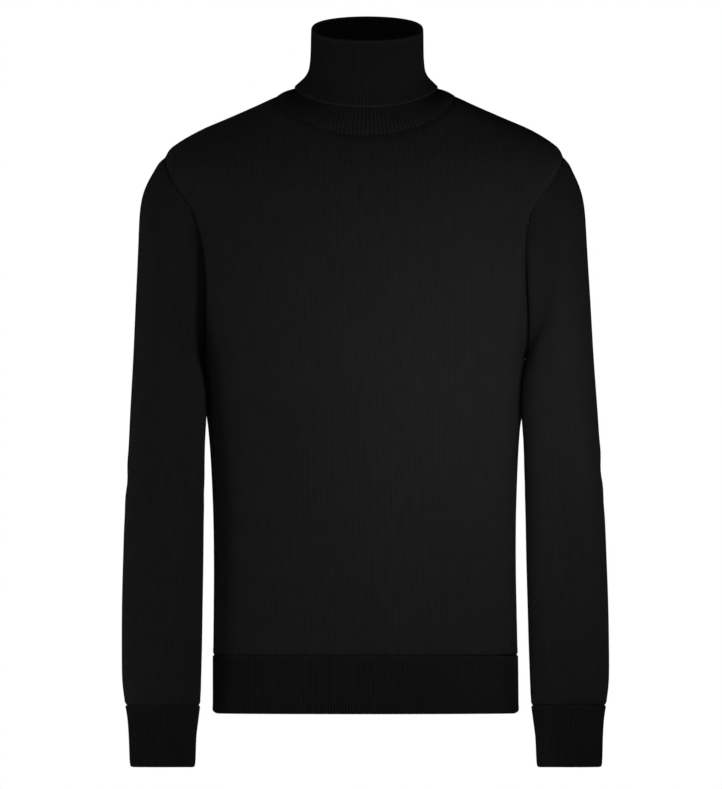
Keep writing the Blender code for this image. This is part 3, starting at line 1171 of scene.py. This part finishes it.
@dataclass
class Wardrobe:
    """What every piece needs: the worn form and the knits."""

    form: WornForm
    knits: dict[KnitFinish, bpy.types.Material]

    def dress(self, piece: bpy.types.Object, node: str, finish: KnitFinish) -> None:
        """Gives a finished piece its knit and its body, and hides the CAD node it stands for.

        Args:
            piece: The piece.
            node: The CAD node it stands for.
            finish: Its knit.
        """
        piece.data.materials.append(self.knits[finish])
        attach(piece, "root")
        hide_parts(node)
        log.info("%s: %d faces", piece.name, len(piece.data.polygons))

    def dress_band(self, piece: bpy.types.Object, node: str, points: np.ndarray) -> None:
        """Dresses a rib tube in the band rib.

        Args:
            piece: The tube.
            node: The CAD node it stands for.
            points: The grid of its right side.
        """
        girth = float(length_along(points, 1)[:, -1].mean())
        length = float(length_along(points, 0)[-1].mean())
        # The band rib's darker crown is painted shade.
        self.dress(piece, node, SHADED_BAND)


@dataclass
class BodyPanel:
    """The front or the back panel, in jersey."""

    face: Face
    creases: tuple[Crease, ...]
    flat: tuple[float, float] = (0.545, 0.660)
    row_steps: int = 8
    half_columns: int = 58
    even_share: float = 0.978
    wale_spread: float = 0.30
    spread_low: float = -0.200
    spread_high: float = -0.060
    near_rows: tuple[float, ...] = (0.035, 0.075)
    corner: float = 0.006
    near_columns: tuple[float, ...] = (0.9860, 0.9905, 0.9940, 0.9965, 0.9985)

    def shares(self) -> np.ndarray:
        """Where the columns stand, closer together beside the seams.

        Returns:
            Shares of the half width, from -1 to 1.
        """
        even = np.linspace(0, self.even_share, self.half_columns)
        half = np.concatenate([even, self.near_columns, [1.0]])
        return np.concatenate([-half[:0:-1], half])

    def places(self) -> np.ndarray:
        """Where the rows stand, closer together at the neck and hem seams.

        Returns:
            Places down the panel, from the neck (0) to the hem seam.
        """
        rows = np.linspace(0, HEM_PLACE, int(HEM_PLACE) * self.row_steps + 1)
        near = np.array(self.near_rows)
        return np.unique(np.concatenate([rows, near, HEM_PLACE - near]))

    def wales(self, form: WornForm, points: np.ndarray, up: np.ndarray) -> np.ndarray:
        """Where each point lies on the knitted cloth; the wales fan out over the chest.

        Args:
            form: The worn form.
            points: The panel's grid.
            up: Each point's height along the cloth.

        Returns:
            The places, in metres across and up.
        """
        rise = smooth_step(points[..., 2], self.spread_low, self.spread_high)
        spread = 1 + self.wale_spread * rise
        return np.stack([form.slice_arc(points, self.face) / spread, up], -1)

    def seams(self, form: WornForm, points: np.ndarray, normals: np.ndarray) -> np.ndarray:
        """How far the seams round the panel move each point.

        Args:
            form: The worn form.
            points: The panel's grid.
            normals: Its unit normals.

        Returns:
            The moves, as one vector for each point.
        """
        down = length_along(points, 0)
        place = self.places()
        sink = NECK_SEAM.sink(down) * neck_share(points[:1]) + HEM_LINE.sink(down[-1:] - down)
        fold = np.zeros_like(points)
        for sign, column in ((-1, 0), (1, -1)):
            edge = points[:, column]
            armhole = edge[(place >= SHOULDER_PLACE) & (place <= UNDERARM_PLACE)]
            distance, nearest = nearest_on(armhole, points)
            sink = sink + ARMHOLE_SEAM.sink(distance)
            fold += CREVICES[sign].press(form, nearest, distance)
            alone = smooth_step(np.minimum(distance, down), 0.0, self.corner)
            shoulder, side = edge[place <= SHOULDER_PLACE], edge[place >= UNDERARM_PLACE]
            for seam, line in ((SHOULDER_SEAM, shoulder), (SIDE_SEAM, side)):
                sink = sink + seam.sink(nearest_on(line, points)[0]) * alone
        return normals * sink[..., None] + fold

    def build(self, wardrobe: Wardrobe) -> None:
        """Builds and dresses the panel.

        Args:
            wardrobe: The worn form and the knits.
        """
        form, face = wardrobe.form, self.face
        points = form.panel(self.places(), self.shares(), face)
        normals = form.normals(points)
        creased = sum(crease.press(points) for crease in self.creases)
        shaped = points + self.seams(form, points, normals) + normals * creased[..., None]
        name = face.column + "_body"
        down = length_along(points, 0)
        uv = self.wales(form, points, down[-1:] - down)
        piece = cloth_from_grid(name + "_jersey", shaped, uv, normals)
        thicken(piece)
        wardrobe.dress(piece, name, JERSEY)


@dataclass
class Sleeve:
    """One jersey sleeve with its rib cuff."""

    name: str
    sign: int
    creases: tuple[Crease, ...]
    columns: int = 128
    row_steps: int = 8
    near_rows: tuple[float, ...] = (0.03, 0.07)
    soft_rounds: int = 60
    soft_start: tuple[float, float] = (0.000, 0.012)
    soft_end: tuple[float, float] = (0.200, 0.300)
    soft_underarm: tuple[float, float] = (2.2, 2.8)
    seam_reach: float = 0.006
    underarm_start: float = 0.03
    cuff_ribs: int = 64
    rib_columns: int = 4
    cuff_steps: int = 4
    edge_steps: int = 5
    rib_height: float = 0.00075
    flat: tuple[float, float] = (0.345, 0.560)

    def loop(self, form: WornForm, ring: SleeveRing, turn: np.ndarray) -> np.ndarray:
        """One ring's points.

        Args:
            form: The worn form, which gives the lean.
            ring: The ring's sizes.
            turn: Angles from the outer side (0), the front being positive.

        Returns:
            The points.
        """
        share = (1 + np.cos(turn + ring.twist)) / 2
        depth = np.where(turn > 0, ring.front, ring.back)
        x = ring.inner + (ring.outer - ring.inner) * share
        z = ring.inner_height + (ring.outer_height - ring.inner_height) * share
        return form.lean(np.stack([self.sign * x, ring.middle - depth * np.sin(turn), z], -1))

    def armhole(self, form: WornForm, turn: np.ndarray) -> np.ndarray:
        """The armhole's points.

        Args:
            form: The worn form.
            turn: Angles from the outer side (0), the front being positive.

        Returns:
            The points, one for each angle.
        """
        front = form.armhole_point(np.abs(turn), Face.FRONT)
        back = form.armhole_point(np.abs(turn), Face.BACK)
        points = np.where((turn > 0)[:, None], front, back)
        return form.lean(points * np.array([self.sign, 1, 1]))

    def build(self, wardrobe: Wardrobe) -> None:
        """Builds and dresses the sleeve.

        Args:
            wardrobe: The worn form and the knits.
        """
        form = wardrobe.form
        turn = np.linspace(-math.pi, math.pi, self.columns + 1)
        rings = [self.armhole(form, turn)]
        rings += [self.loop(form, ring, turn) for ring in SLEEVE_RINGS]
        points = smooth_rows(np.array(rings), self.row_steps, self.near_rows)
        down = length_along(points, 0)
        freedom = smooth_step(down, *self.soft_start) * (1 - smooth_step(down, *self.soft_end))
        freedom = freedom * (1 - smooth_step(np.abs(turn), *self.soft_underarm))
        points = soften(points, freedom[..., None], self.soft_rounds)
        down, along = length_along(points, 0), length_along(points, 1)
        distance, nearest = nearest_on(points[0], points)
        sewn = np.exp(-((distance / self.seam_reach) ** 2))[..., None]
        normals = unit(tube_normals(points) * (1 - sewn) + form.normals(nearest) * sewn)
        move = ARMHOLE_SEAM.sink(distance) + CUFF_LINE.sink(down[-1:] - down)
        aside = np.minimum(along, along[:, -1:] - along)
        move = move + SIDE_SEAM.sink(aside) * np.clip(down / self.underarm_start, 0, 1)
        move = move + sum(crease.press(points) for crease in self.creases)
        shaped = points + normals * move[..., None]
        shaped += CREVICES[self.sign].press(form, nearest, distance)
        across = (along - along[:, [self.columns // 2]]) * self.sign
        uv = np.stack([across, down[-1:] - down], -1)
        piece = cloth_from_grid(self.name + "_sleeve_jersey", shaped, uv, normals)
        thicken(piece)
        # The sleeve jersey's darker crown is painted shade.
        wardrobe.dress(piece, self.name + "_sleeve", SHADED_SLEEVE_JERSEY)

    def build_cuff(self, wardrobe: Wardrobe) -> None:
        """Builds and dresses the cuff.

        Args:
            wardrobe: The worn form and the knits.
        """
        form = wardrobe.form
        columns = self.cuff_ribs * self.rib_columns
        turn = even_turns(lambda t: self.loop(form, CUFF_RINGS[1], t), columns)
        rings = [self.loop(form, ring, turn) for ring in (SLEEVE_RINGS[-1], *CUFF_RINGS)]
        points = smooth_rows(np.array(rings), self.cuff_steps, BAND_NEAR)
        piece = hanging_band(self.name + "_cuff_rib", points, self.cuff_ribs, self.rib_height,
                             self.edge_steps)
        wardrobe.dress_band(piece, self.name + "_cuff", points)


def bead_highlight_near(distance: np.ndarray) -> np.ndarray:
    """Share of smooth rim, with a painted highlight, at each distance from a linked edge."""
    return np.exp(-((distance / BEAD_HIGHLIGHT_WIDTH) ** 2))


def hanging_band(name: str, points: np.ndarray, ribs: int, rib_height: float,
                 edge_steps: int) -> bpy.types.Object:
    """Makes a rib band that hangs from a seam and ends in a rounded free edge.

    Args:
        name: The piece's name.
        points: Its right side, from the seam to the free edge.
        ribs: How many ribs go round.
        rib_height: Their height from hollow to crown.
        edge_steps: How many steps go round the free edge.

    Returns:
        The band.
    """
    normals = tube_normals(points)
    way = unit(points[-1] - points[-2])
    points[0] += unit(points[1] - points[0]) * SEAM_GAP
    tube = RibTube()
    # The rows beside the seam get the bead mask: a raised smooth rim and a painted highlight.
    tube.lay(points, normals, 1.0, bead_highlight_near(length_along(points, 0).mean(1)))
    tube.bend(points[-1] - normals[-1] * WALL / 2, normals[-1], way, WALL / 2, edge_steps,
              EDGE_RELIEF)
    tube.lay((points - normals * WALL)[::-1], -normals[::-1], WRONG_SIDE_RELIEF)
    return tube.close(name, np.linspace(0, 1, points.shape[1]), ribs, rib_height)


@dataclass
class HemBand:
    """The rib band round the bottom."""

    ribs: int = 286
    rib_columns: int = 4
    turn_in: float = 0.004
    turn_height: float = 0.003
    straight: float = 0.012
    straight_rings: int = 4
    rib_height: float = 0.00085
    steps: int = 4
    edge_steps: int = 5

    def loop(self, form: WornForm, height: float, scale: float, turn: np.ndarray) -> np.ndarray:
        """The band's points at a height.

        Args:
            form: The worn form.
            height: The height.
            scale: The loop's size as a share of the form's own slice.
            turn: Turns from the back round over the front.

        Returns:
            The points, one for each turn.
        """
        x = form.sections.read("half_width", height) * np.sin(turn)
        z = np.full_like(x, height)
        front = -form.depth(x, z, Face.FRONT)
        back = form.depth(x, z, Face.BACK)
        y = np.where(np.cos(turn) >= 0, front, back)
        return form.lean(np.stack([x * scale, y * scale, z], -1))

    def build(self, wardrobe: Wardrobe) -> None:
        """Builds and dresses the band.

        Args:
            wardrobe: The worn form and the knits.
        """
        form = wardrobe.form
        turn = even_turns(lambda t: self.loop(form, HEM, 1.0, t), self.ribs * self.rib_columns)
        narrow = 1 - self.turn_in / float(form.sections.read("half_width", HEM))
        heights = np.linspace(HEM_SEAM, HEM + self.straight, self.straight_rings)
        heights = [*heights, HEM + self.turn_height]
        rings = [self.loop(form, height, 1.0, turn) for height in heights]
        rings.append(self.loop(form, HEM, narrow, turn))
        points = smooth_rows(np.array(rings), self.steps, BAND_NEAR)
        piece = hanging_band("hem_rib_band", points, self.ribs, self.rib_height, self.edge_steps)
        wardrobe.dress_band(piece, "hem_rib", points)


@dataclass
class RollCollar:
    """The rib collar: a stand, an inner layer, a fold and a turned-down outer layer."""

    ribs: int = 126
    rib_columns: int = 4
    core: float = 0.0006
    rib_height: float = 0.0006
    layer_steps: int = 5
    stand_steps: int = 10
    stand_swell: float = 0.0012
    fold_steps: int = 8
    # These set the bead mask, which also paints a highlight, over the fold's lip and the free edge.
    lip_bead: float = 1.0
    edge_steps: int = 5
    edge_bead: float = 1.0

    def loop(self, form: WornForm, ring: CollarRing, turn: np.ndarray) -> np.ndarray:
        """One ring's points.

        Args:
            form: The worn form, which gives the lean.
            ring: The ring's sizes.
            turn: Turns from the front (0) to the left (pi/2) and round.

        Returns:
            The points, one for each turn.
        """
        ahead = np.cos(turn)
        depth = np.where(ahead > 0, ring.front, ring.back)
        height = np.where(ahead > 0, ring.front_height, ring.back_height)
        z = ring.side_height + (height - ring.side_height) * np.abs(ahead) ** ring.curve
        return form.lean(np.stack([ring.side * np.sin(turn), -depth * ahead, z], -1))

    def stand(self, form: WornForm, turn: np.ndarray, top: np.ndarray) -> np.ndarray:
        """The stand's right side, from the neck seam up to its hidden top row.

        Args:
            form: The worn form, which gives the neck seam.
            turn: Angles round the neck.
            top: The row that the stand runs up to.

        Returns:
            The stand's rows, the top row among them.
        """
        neck = form.neckline(turn)
        share = np.linspace(0, 1, self.stand_steps + 1)[:, None, None]
        rows = neck * (1 - share) + top * share
        away = tube_normals(rows)
        rise = length_along(rows, 0)[..., None]
        rows = rows + away * self.stand_swell * np.sin(np.pi * share)
        dip = NECK_SEAM.sink(rise) * neck_share(neck)[:, None]
        rows = rows + form.normals(neck) * dip * (share < 1)
        rows[0] += unit(rows[1] - rows[0]) * SEAM_GAP
        return rows

    def build(self, wardrobe: Wardrobe) -> None:
        """Builds and dresses the collar.

        Args:
            wardrobe: The worn form and the knits.
        """
        turn = np.linspace(-math.pi, math.pi, self.ribs * self.rib_columns + 1)
        form = wardrobe.form
        rings = np.array([self.loop(form, ring, turn) for ring in COLLAR_RINGS])
        core = smooth_rows(rings, self.layer_steps, BAND_NEAR)
        away = tube_normals(core)
        rise, drop = unit(core[-1] - core[-2]), unit(core[0] - core[1])
        small, large = self.core, self.core + WALL
        stand = self.stand(form, turn, core[0] - away[0] * small)[:-1]
        stand_away = tube_normals(np.concatenate([stand, core[:2] - away[:2] * small]))[:-2]
        tube = RibTube()
        tube.lay(stand, stand_away, 1.0)
        tube.lay(core - away * small, away, 0.0)
        tube.bend(core[-1], -away[-1], rise, small, self.fold_steps // 2, 0.0)
        tube.lay((core + away * small)[::-1], -away[::-1], 0.0)
        edge = core[0] + away[0] * (small + WALL / 2)
        # The free edge, the outer layer beside it and beside the fold, and the fold's lip get the bead
        # mask: smoother raised cloth and a painted highlight.
        tube.bend(edge, -away[0], drop, WALL / 2, self.edge_steps, EDGE_RELIEF, self.edge_bead)
        rise_from_edge = length_along(core, 0).mean(1)
        beads = bead_highlight_near(rise_from_edge) + bead_highlight_near(rise_from_edge[-1] - rise_from_edge)
        tube.lay(core + away * large, away, 1.0, beads)
        tube.bend(core[-1], away[-1], rise, large, self.fold_steps, 1.0, self.lip_bead)
        tube.lay((core - away * large)[::-1], -away[::-1], 1.0)
        tube.lay((stand - stand_away * WALL)[::-1], -stand_away[::-1], 1.0)
        share = np.linspace(0, 1, len(turn))
        piece = tube.close("collar_rib", share, self.ribs, self.rib_height)
        length = float(length_along(np.concatenate([stand, core]), 0)[-1].mean())
        length += float(length_along(core, 0)[-1].mean())
        girth = float(length_along(core, 1)[:, -1].mean())
        wardrobe.dress(piece, "collar", RIB)


# --- Studio -----------------------------------------------------------------------------------


@dataclass(frozen=True)
class Lamp:
    """A round soft light, turned towards the middle of the garment."""

    name: str
    place: tuple[float, float, float]
    size: float
    energy: float


LAMPS = (
    Lamp("key", (0.28, -0.52, -0.30), 0.20, 1.35),
    Lamp("front", (0.10, -3.00, -0.15), 1.6, 8.0),
    Lamp("right_side", (2.80, -0.60, -0.35), 0.9, 2.2),
    Lamp("left_side", (-1.60, -0.50, -0.40), 0.6, 4.2),
    Lamp("left_front", (-1.10, -1.50, -0.45), 0.6, 2.4),
    Lamp("top", (0.20, -1.60, 1.40), 0.6, 2.0),
    Lamp("behind_left", (-0.15, 3.00, -0.30), 0.6, 24.0),
    Lamp("behind_right", (0.15, 3.00, -0.10), 0.6, 28.0),
)


@dataclass
class Studio:
    """A pale floor, soft light and the camera in front of the garment."""

    view_height: float = 0.8711
    view_middle: tuple[float, float] = (-0.0055, -0.3285)
    camera_distance: float = 30.0
    sensor: float = 36.0
    far_clip: float = 100.0
    floor_drop: float = 0.62
    floor_radius: float = 7.0
    floor_corners: int = 96
    floor_paint: tuple[float, float, float, float] = (0.86, 0.86, 0.86, 1.0)
    floor_roughness: float = 0.8
    floor_glow: float = 0.45
    world_fill: float = 0.02
    light_aim: tuple[float, float, float] = (0.0, 0.0, -0.32)

    def build(self) -> None:
        """Sets up the floor, the world, the lights and the camera."""
        self.floor()
        self.world()
        for lamp in LAMPS:
            self.light(lamp)
        self.camera()

    def floor(self) -> None:
        """A wide pale floor below the garment."""
        mesh = bmesh.new()
        level = CAD_BOX[0][2] - self.floor_drop
        bmesh.ops.create_circle(mesh, cap_ends=True, segments=self.floor_corners,
                                radius=self.floor_radius)
        bmesh.ops.translate(mesh, verts=mesh.verts, vec=(0, 0, level))
        data = bpy.data.meshes.new("studio_floor")
        mesh.to_mesh(data)
        mesh.free()
        floor = bpy.data.objects.new("studio_floor", data)
        bpy.context.scene.collection.objects.link(floor)
        paint = bpy.data.materials.new("studio_floor_paint")
        paint.use_nodes = True
        bench = NodeBench(paint.node_tree)
        shader = paint.node_tree.nodes["Principled BSDF"]
        shader.inputs["Base Color"].default_value = self.floor_paint
        shader.inputs["Roughness"].default_value = self.floor_roughness
        shader.inputs["Emission Color"].default_value = WHITE
        path = bench.add("ShaderNodeLightPath")
        glow = bench.math("MULTIPLY", path.outputs["Is Camera Ray"], self.floor_glow)
        bench.feed(shader.inputs["Emission Strength"], glow)
        data.materials.append(paint)

    def world(self) -> None:
        """White to look at, and a softer fill for the light it gives."""
        world = bpy.data.worlds.new("studio_world")
        bpy.context.scene.world = world
        world.use_nodes = True
        world.node_tree.nodes.clear()
        bench = NodeBench(world.node_tree)
        mix = bench.add("ShaderNodeMixShader")
        path = bench.add("ShaderNodeLightPath")
        bench.feed(mix.inputs[0], path.outputs["Is Camera Ray"])
        for socket, strength in ((mix.inputs[1], self.world_fill), (mix.inputs[2], 1.0)):
            sky = bench.add("ShaderNodeBackground")
            sky.inputs["Color"].default_value = WHITE
            sky.inputs["Strength"].default_value = strength
            bench.feed(socket, sky.outputs[0])
        result = bench.add("ShaderNodeOutputWorld")
        bench.feed(result.inputs["Surface"], mix.outputs[0])

    def light(self, lamp: Lamp) -> None:
        """Sets up one lamp.

        Args:
            lamp: The lamp.
        """
        data = bpy.data.lights.new("studio_" + lamp.name, "AREA")
        data.shape = "DISK"
        data.size = lamp.size
        data.energy = lamp.energy
        light = bpy.data.objects.new("studio_" + lamp.name, data)
        bpy.context.scene.collection.objects.link(light)
        light.location = lamp.place
        aim = Vector(self.light_aim) - light.location
        light.rotation_euler = aim.to_track_quat("-Z", "Y").to_euler()

    def camera(self) -> None:
        """A long lens level with the middle of the garment."""
        data = bpy.data.cameras.new("studio_camera")
        data.sensor_width = self.sensor
        data.sensor_height = self.sensor
        data.lens = self.sensor * self.camera_distance / self.view_height
        data.clip_end = self.far_clip
        camera = bpy.data.objects.new("studio_camera", data)
        bpy.context.scene.collection.objects.link(camera)
        camera.location = (self.view_middle[0], -self.camera_distance, self.view_middle[1])
        camera.rotation_euler = (math.pi / 2, 0, 0)
        bpy.context.scene.camera = camera
        bpy.context.scene.view_settings.view_transform = "Standard"


# --- The whole garment ------------------------------------------------------------------------


def underarm_ridge(side: float, height: float, width: float, rise: float) -> Crease:
    """A low ridge across the cloth below an armhole, from front to back.

    Args:
        side: How far it is to the wearer's left.
        height: Its height.
        width: Its width.
        rise: How far it stands up.

    Returns:
        The ridge, with no trough beside it.
    """
    reach, bow = 0.040, math.copysign(0.001, side)
    start, middle, end = (side, -reach, height), (side - bow, 0.0, height), (side, reach, height)
    return Crease(start, middle, end, width, -rise, shoulder_share=0.0)


UNDERARM_RIDGES = (
    underarm_ridge(0.178, -0.297, 0.012, 0.0022),
    underarm_ridge(0.178, -0.350, 0.010, 0.0020),
    underarm_ridge(-0.184, -0.347, 0.010, 0.0018),
    underarm_ridge(-0.184, -0.296, 0.012, 0.0027),
)

# Each crease runs from its start through its middle to its end, in the garment's own space.
FRONT_CREASES = (
    Crease((0.121, -0.095, -0.270), (0.118, -0.094, -0.360), (0.122, -0.090, -0.450), 0.007, 0.0012),
    Crease((-0.128, -0.092, -0.300), (-0.122, -0.094, -0.380), (-0.127, -0.088, -0.460), 0.009, 0.0010),
    Crease((-0.035, -0.113, -0.405), (0.005, -0.113, -0.425), (0.045, -0.111, -0.450), 0.008, 0.0006),
    Crease((0.030, -0.113, -0.470), (0.065, -0.108, -0.492), (0.095, -0.100, -0.505), 0.009, 0.0006),
    Crease((-0.150, -0.055, -0.310), (-0.120, -0.094, -0.325), (-0.080, -0.110, -0.322), 0.011, 0.0014),
    Crease((0.150, -0.055, -0.315), (0.125, -0.092, -0.335), (0.090, -0.108, -0.345), 0.010, 0.0012),
    Crease((-0.155, -0.040, -0.560), (-0.110, -0.095, -0.540), (-0.060, -0.107, -0.548), 0.012, 0.0010),
    *UNDERARM_RIDGES,
    Crease((0.158, -0.040, -0.585), (0.120, -0.090, -0.562), (0.075, -0.105, -0.560), 0.012, 0.0011),
)
BACK_CREASES = (
    *UNDERARM_RIDGES,
    Crease((-0.155, 0.055, -0.300), (-0.110, 0.095, -0.330), (-0.050, 0.103, -0.342), 0.012, 0.0020),
    Crease((0.158, 0.050, -0.310), (0.118, 0.090, -0.345), (0.066, 0.102, -0.352), 0.011, 0.0017),
    Crease((-0.100, 0.090, -0.440), (-0.030, 0.099, -0.462), (0.040, 0.099, -0.452), 0.013, 0.0018),
    Crease((0.000, 0.099, -0.505), (0.060, 0.097, -0.528), (0.120, 0.082, -0.520), 0.012, 0.0015),
    Crease((-0.150, 0.050, -0.545), (-0.100, 0.090, -0.535), (-0.040, 0.101, -0.552), 0.012, 0.0013),
    Crease((0.060, 0.100, -0.130), (0.072, 0.111, -0.190), (0.068, 0.110, -0.255), 0.014, 0.0012),
    Crease((-0.066, 0.100, -0.140), (-0.080, 0.110, -0.205), (-0.074, 0.108, -0.262), 0.015, 0.0013),
)


def arm_creases(sign: int, drop: float) -> tuple[Crease, ...]:
    """The folds at a sleeve's elbow, upper arm and wrist.

    Args:
        sign: 1 on the wearer's left, -1 on the right.
        drop: How much lower the folds lie than on an even sleeve.

    Returns:
        The creases.
    """
    sizes = (
        ((0.180, -0.040, -0.385), (0.205, -0.078, -0.402), (0.242, -0.060, -0.392), 0.0085, 0.0016),
        ((0.178, -0.030, -0.425), (0.200, -0.075, -0.430), (0.232, -0.072, -0.446), 0.0080, 0.0012),
        ((0.262, -0.020, -0.420), (0.250, 0.020, -0.405), (0.215, 0.038, -0.412), 0.0100, 0.0020),
        ((0.262, -0.015, -0.455), (0.240, 0.028, -0.446), (0.200, 0.030, -0.458), 0.0100, 0.0016),
        ((0.185, -0.045, -0.330), (0.200, -0.070, -0.345), (0.225, -0.074, -0.340), 0.0100, 0.0012),
        ((0.190, -0.050, -0.628), (0.222, -0.071, -0.640), (0.255, -0.055, -0.634), 0.0070, 0.0009),
        ((0.190, 0.000, -0.615), (0.225, 0.014, -0.628), (0.262, -0.005, -0.622), 0.0080, 0.0011),
    )
    creases = []
    for *places, width, depth in sizes:
        start, middle, end = ((sign * x, y, z - drop) for x, y, z in places)
        creases.append(Crease(start, middle, end, width, depth))
    return tuple(creases)


def main() -> None:
    """Builds the sweater piece by piece, then the studio round it."""
    logging.basicConfig(level=logging.INFO, format="%(name)s: %(message)s")
    groups = KnitGroups()
    wardrobe = Wardrobe(WornForm(), {finish: finish.make(groups) for finish in FINISHES})
    BodyPanel(Face.FRONT, FRONT_CREASES).build(wardrobe)
    BodyPanel(Face.BACK, BACK_CREASES).build(wardrobe)
    for name, sign, drop in (("left", 1, 0.0), ("right", -1, 0.012)):
        sleeve = Sleeve(name, sign, arm_creases(sign, drop))
        sleeve.build(wardrobe)
        sleeve.build_cuff(wardrobe)
    RollCollar().build(wardrobe)
    HemBand().build(wardrobe)
    Studio().build()


if __name__ == "__main__":
    main()
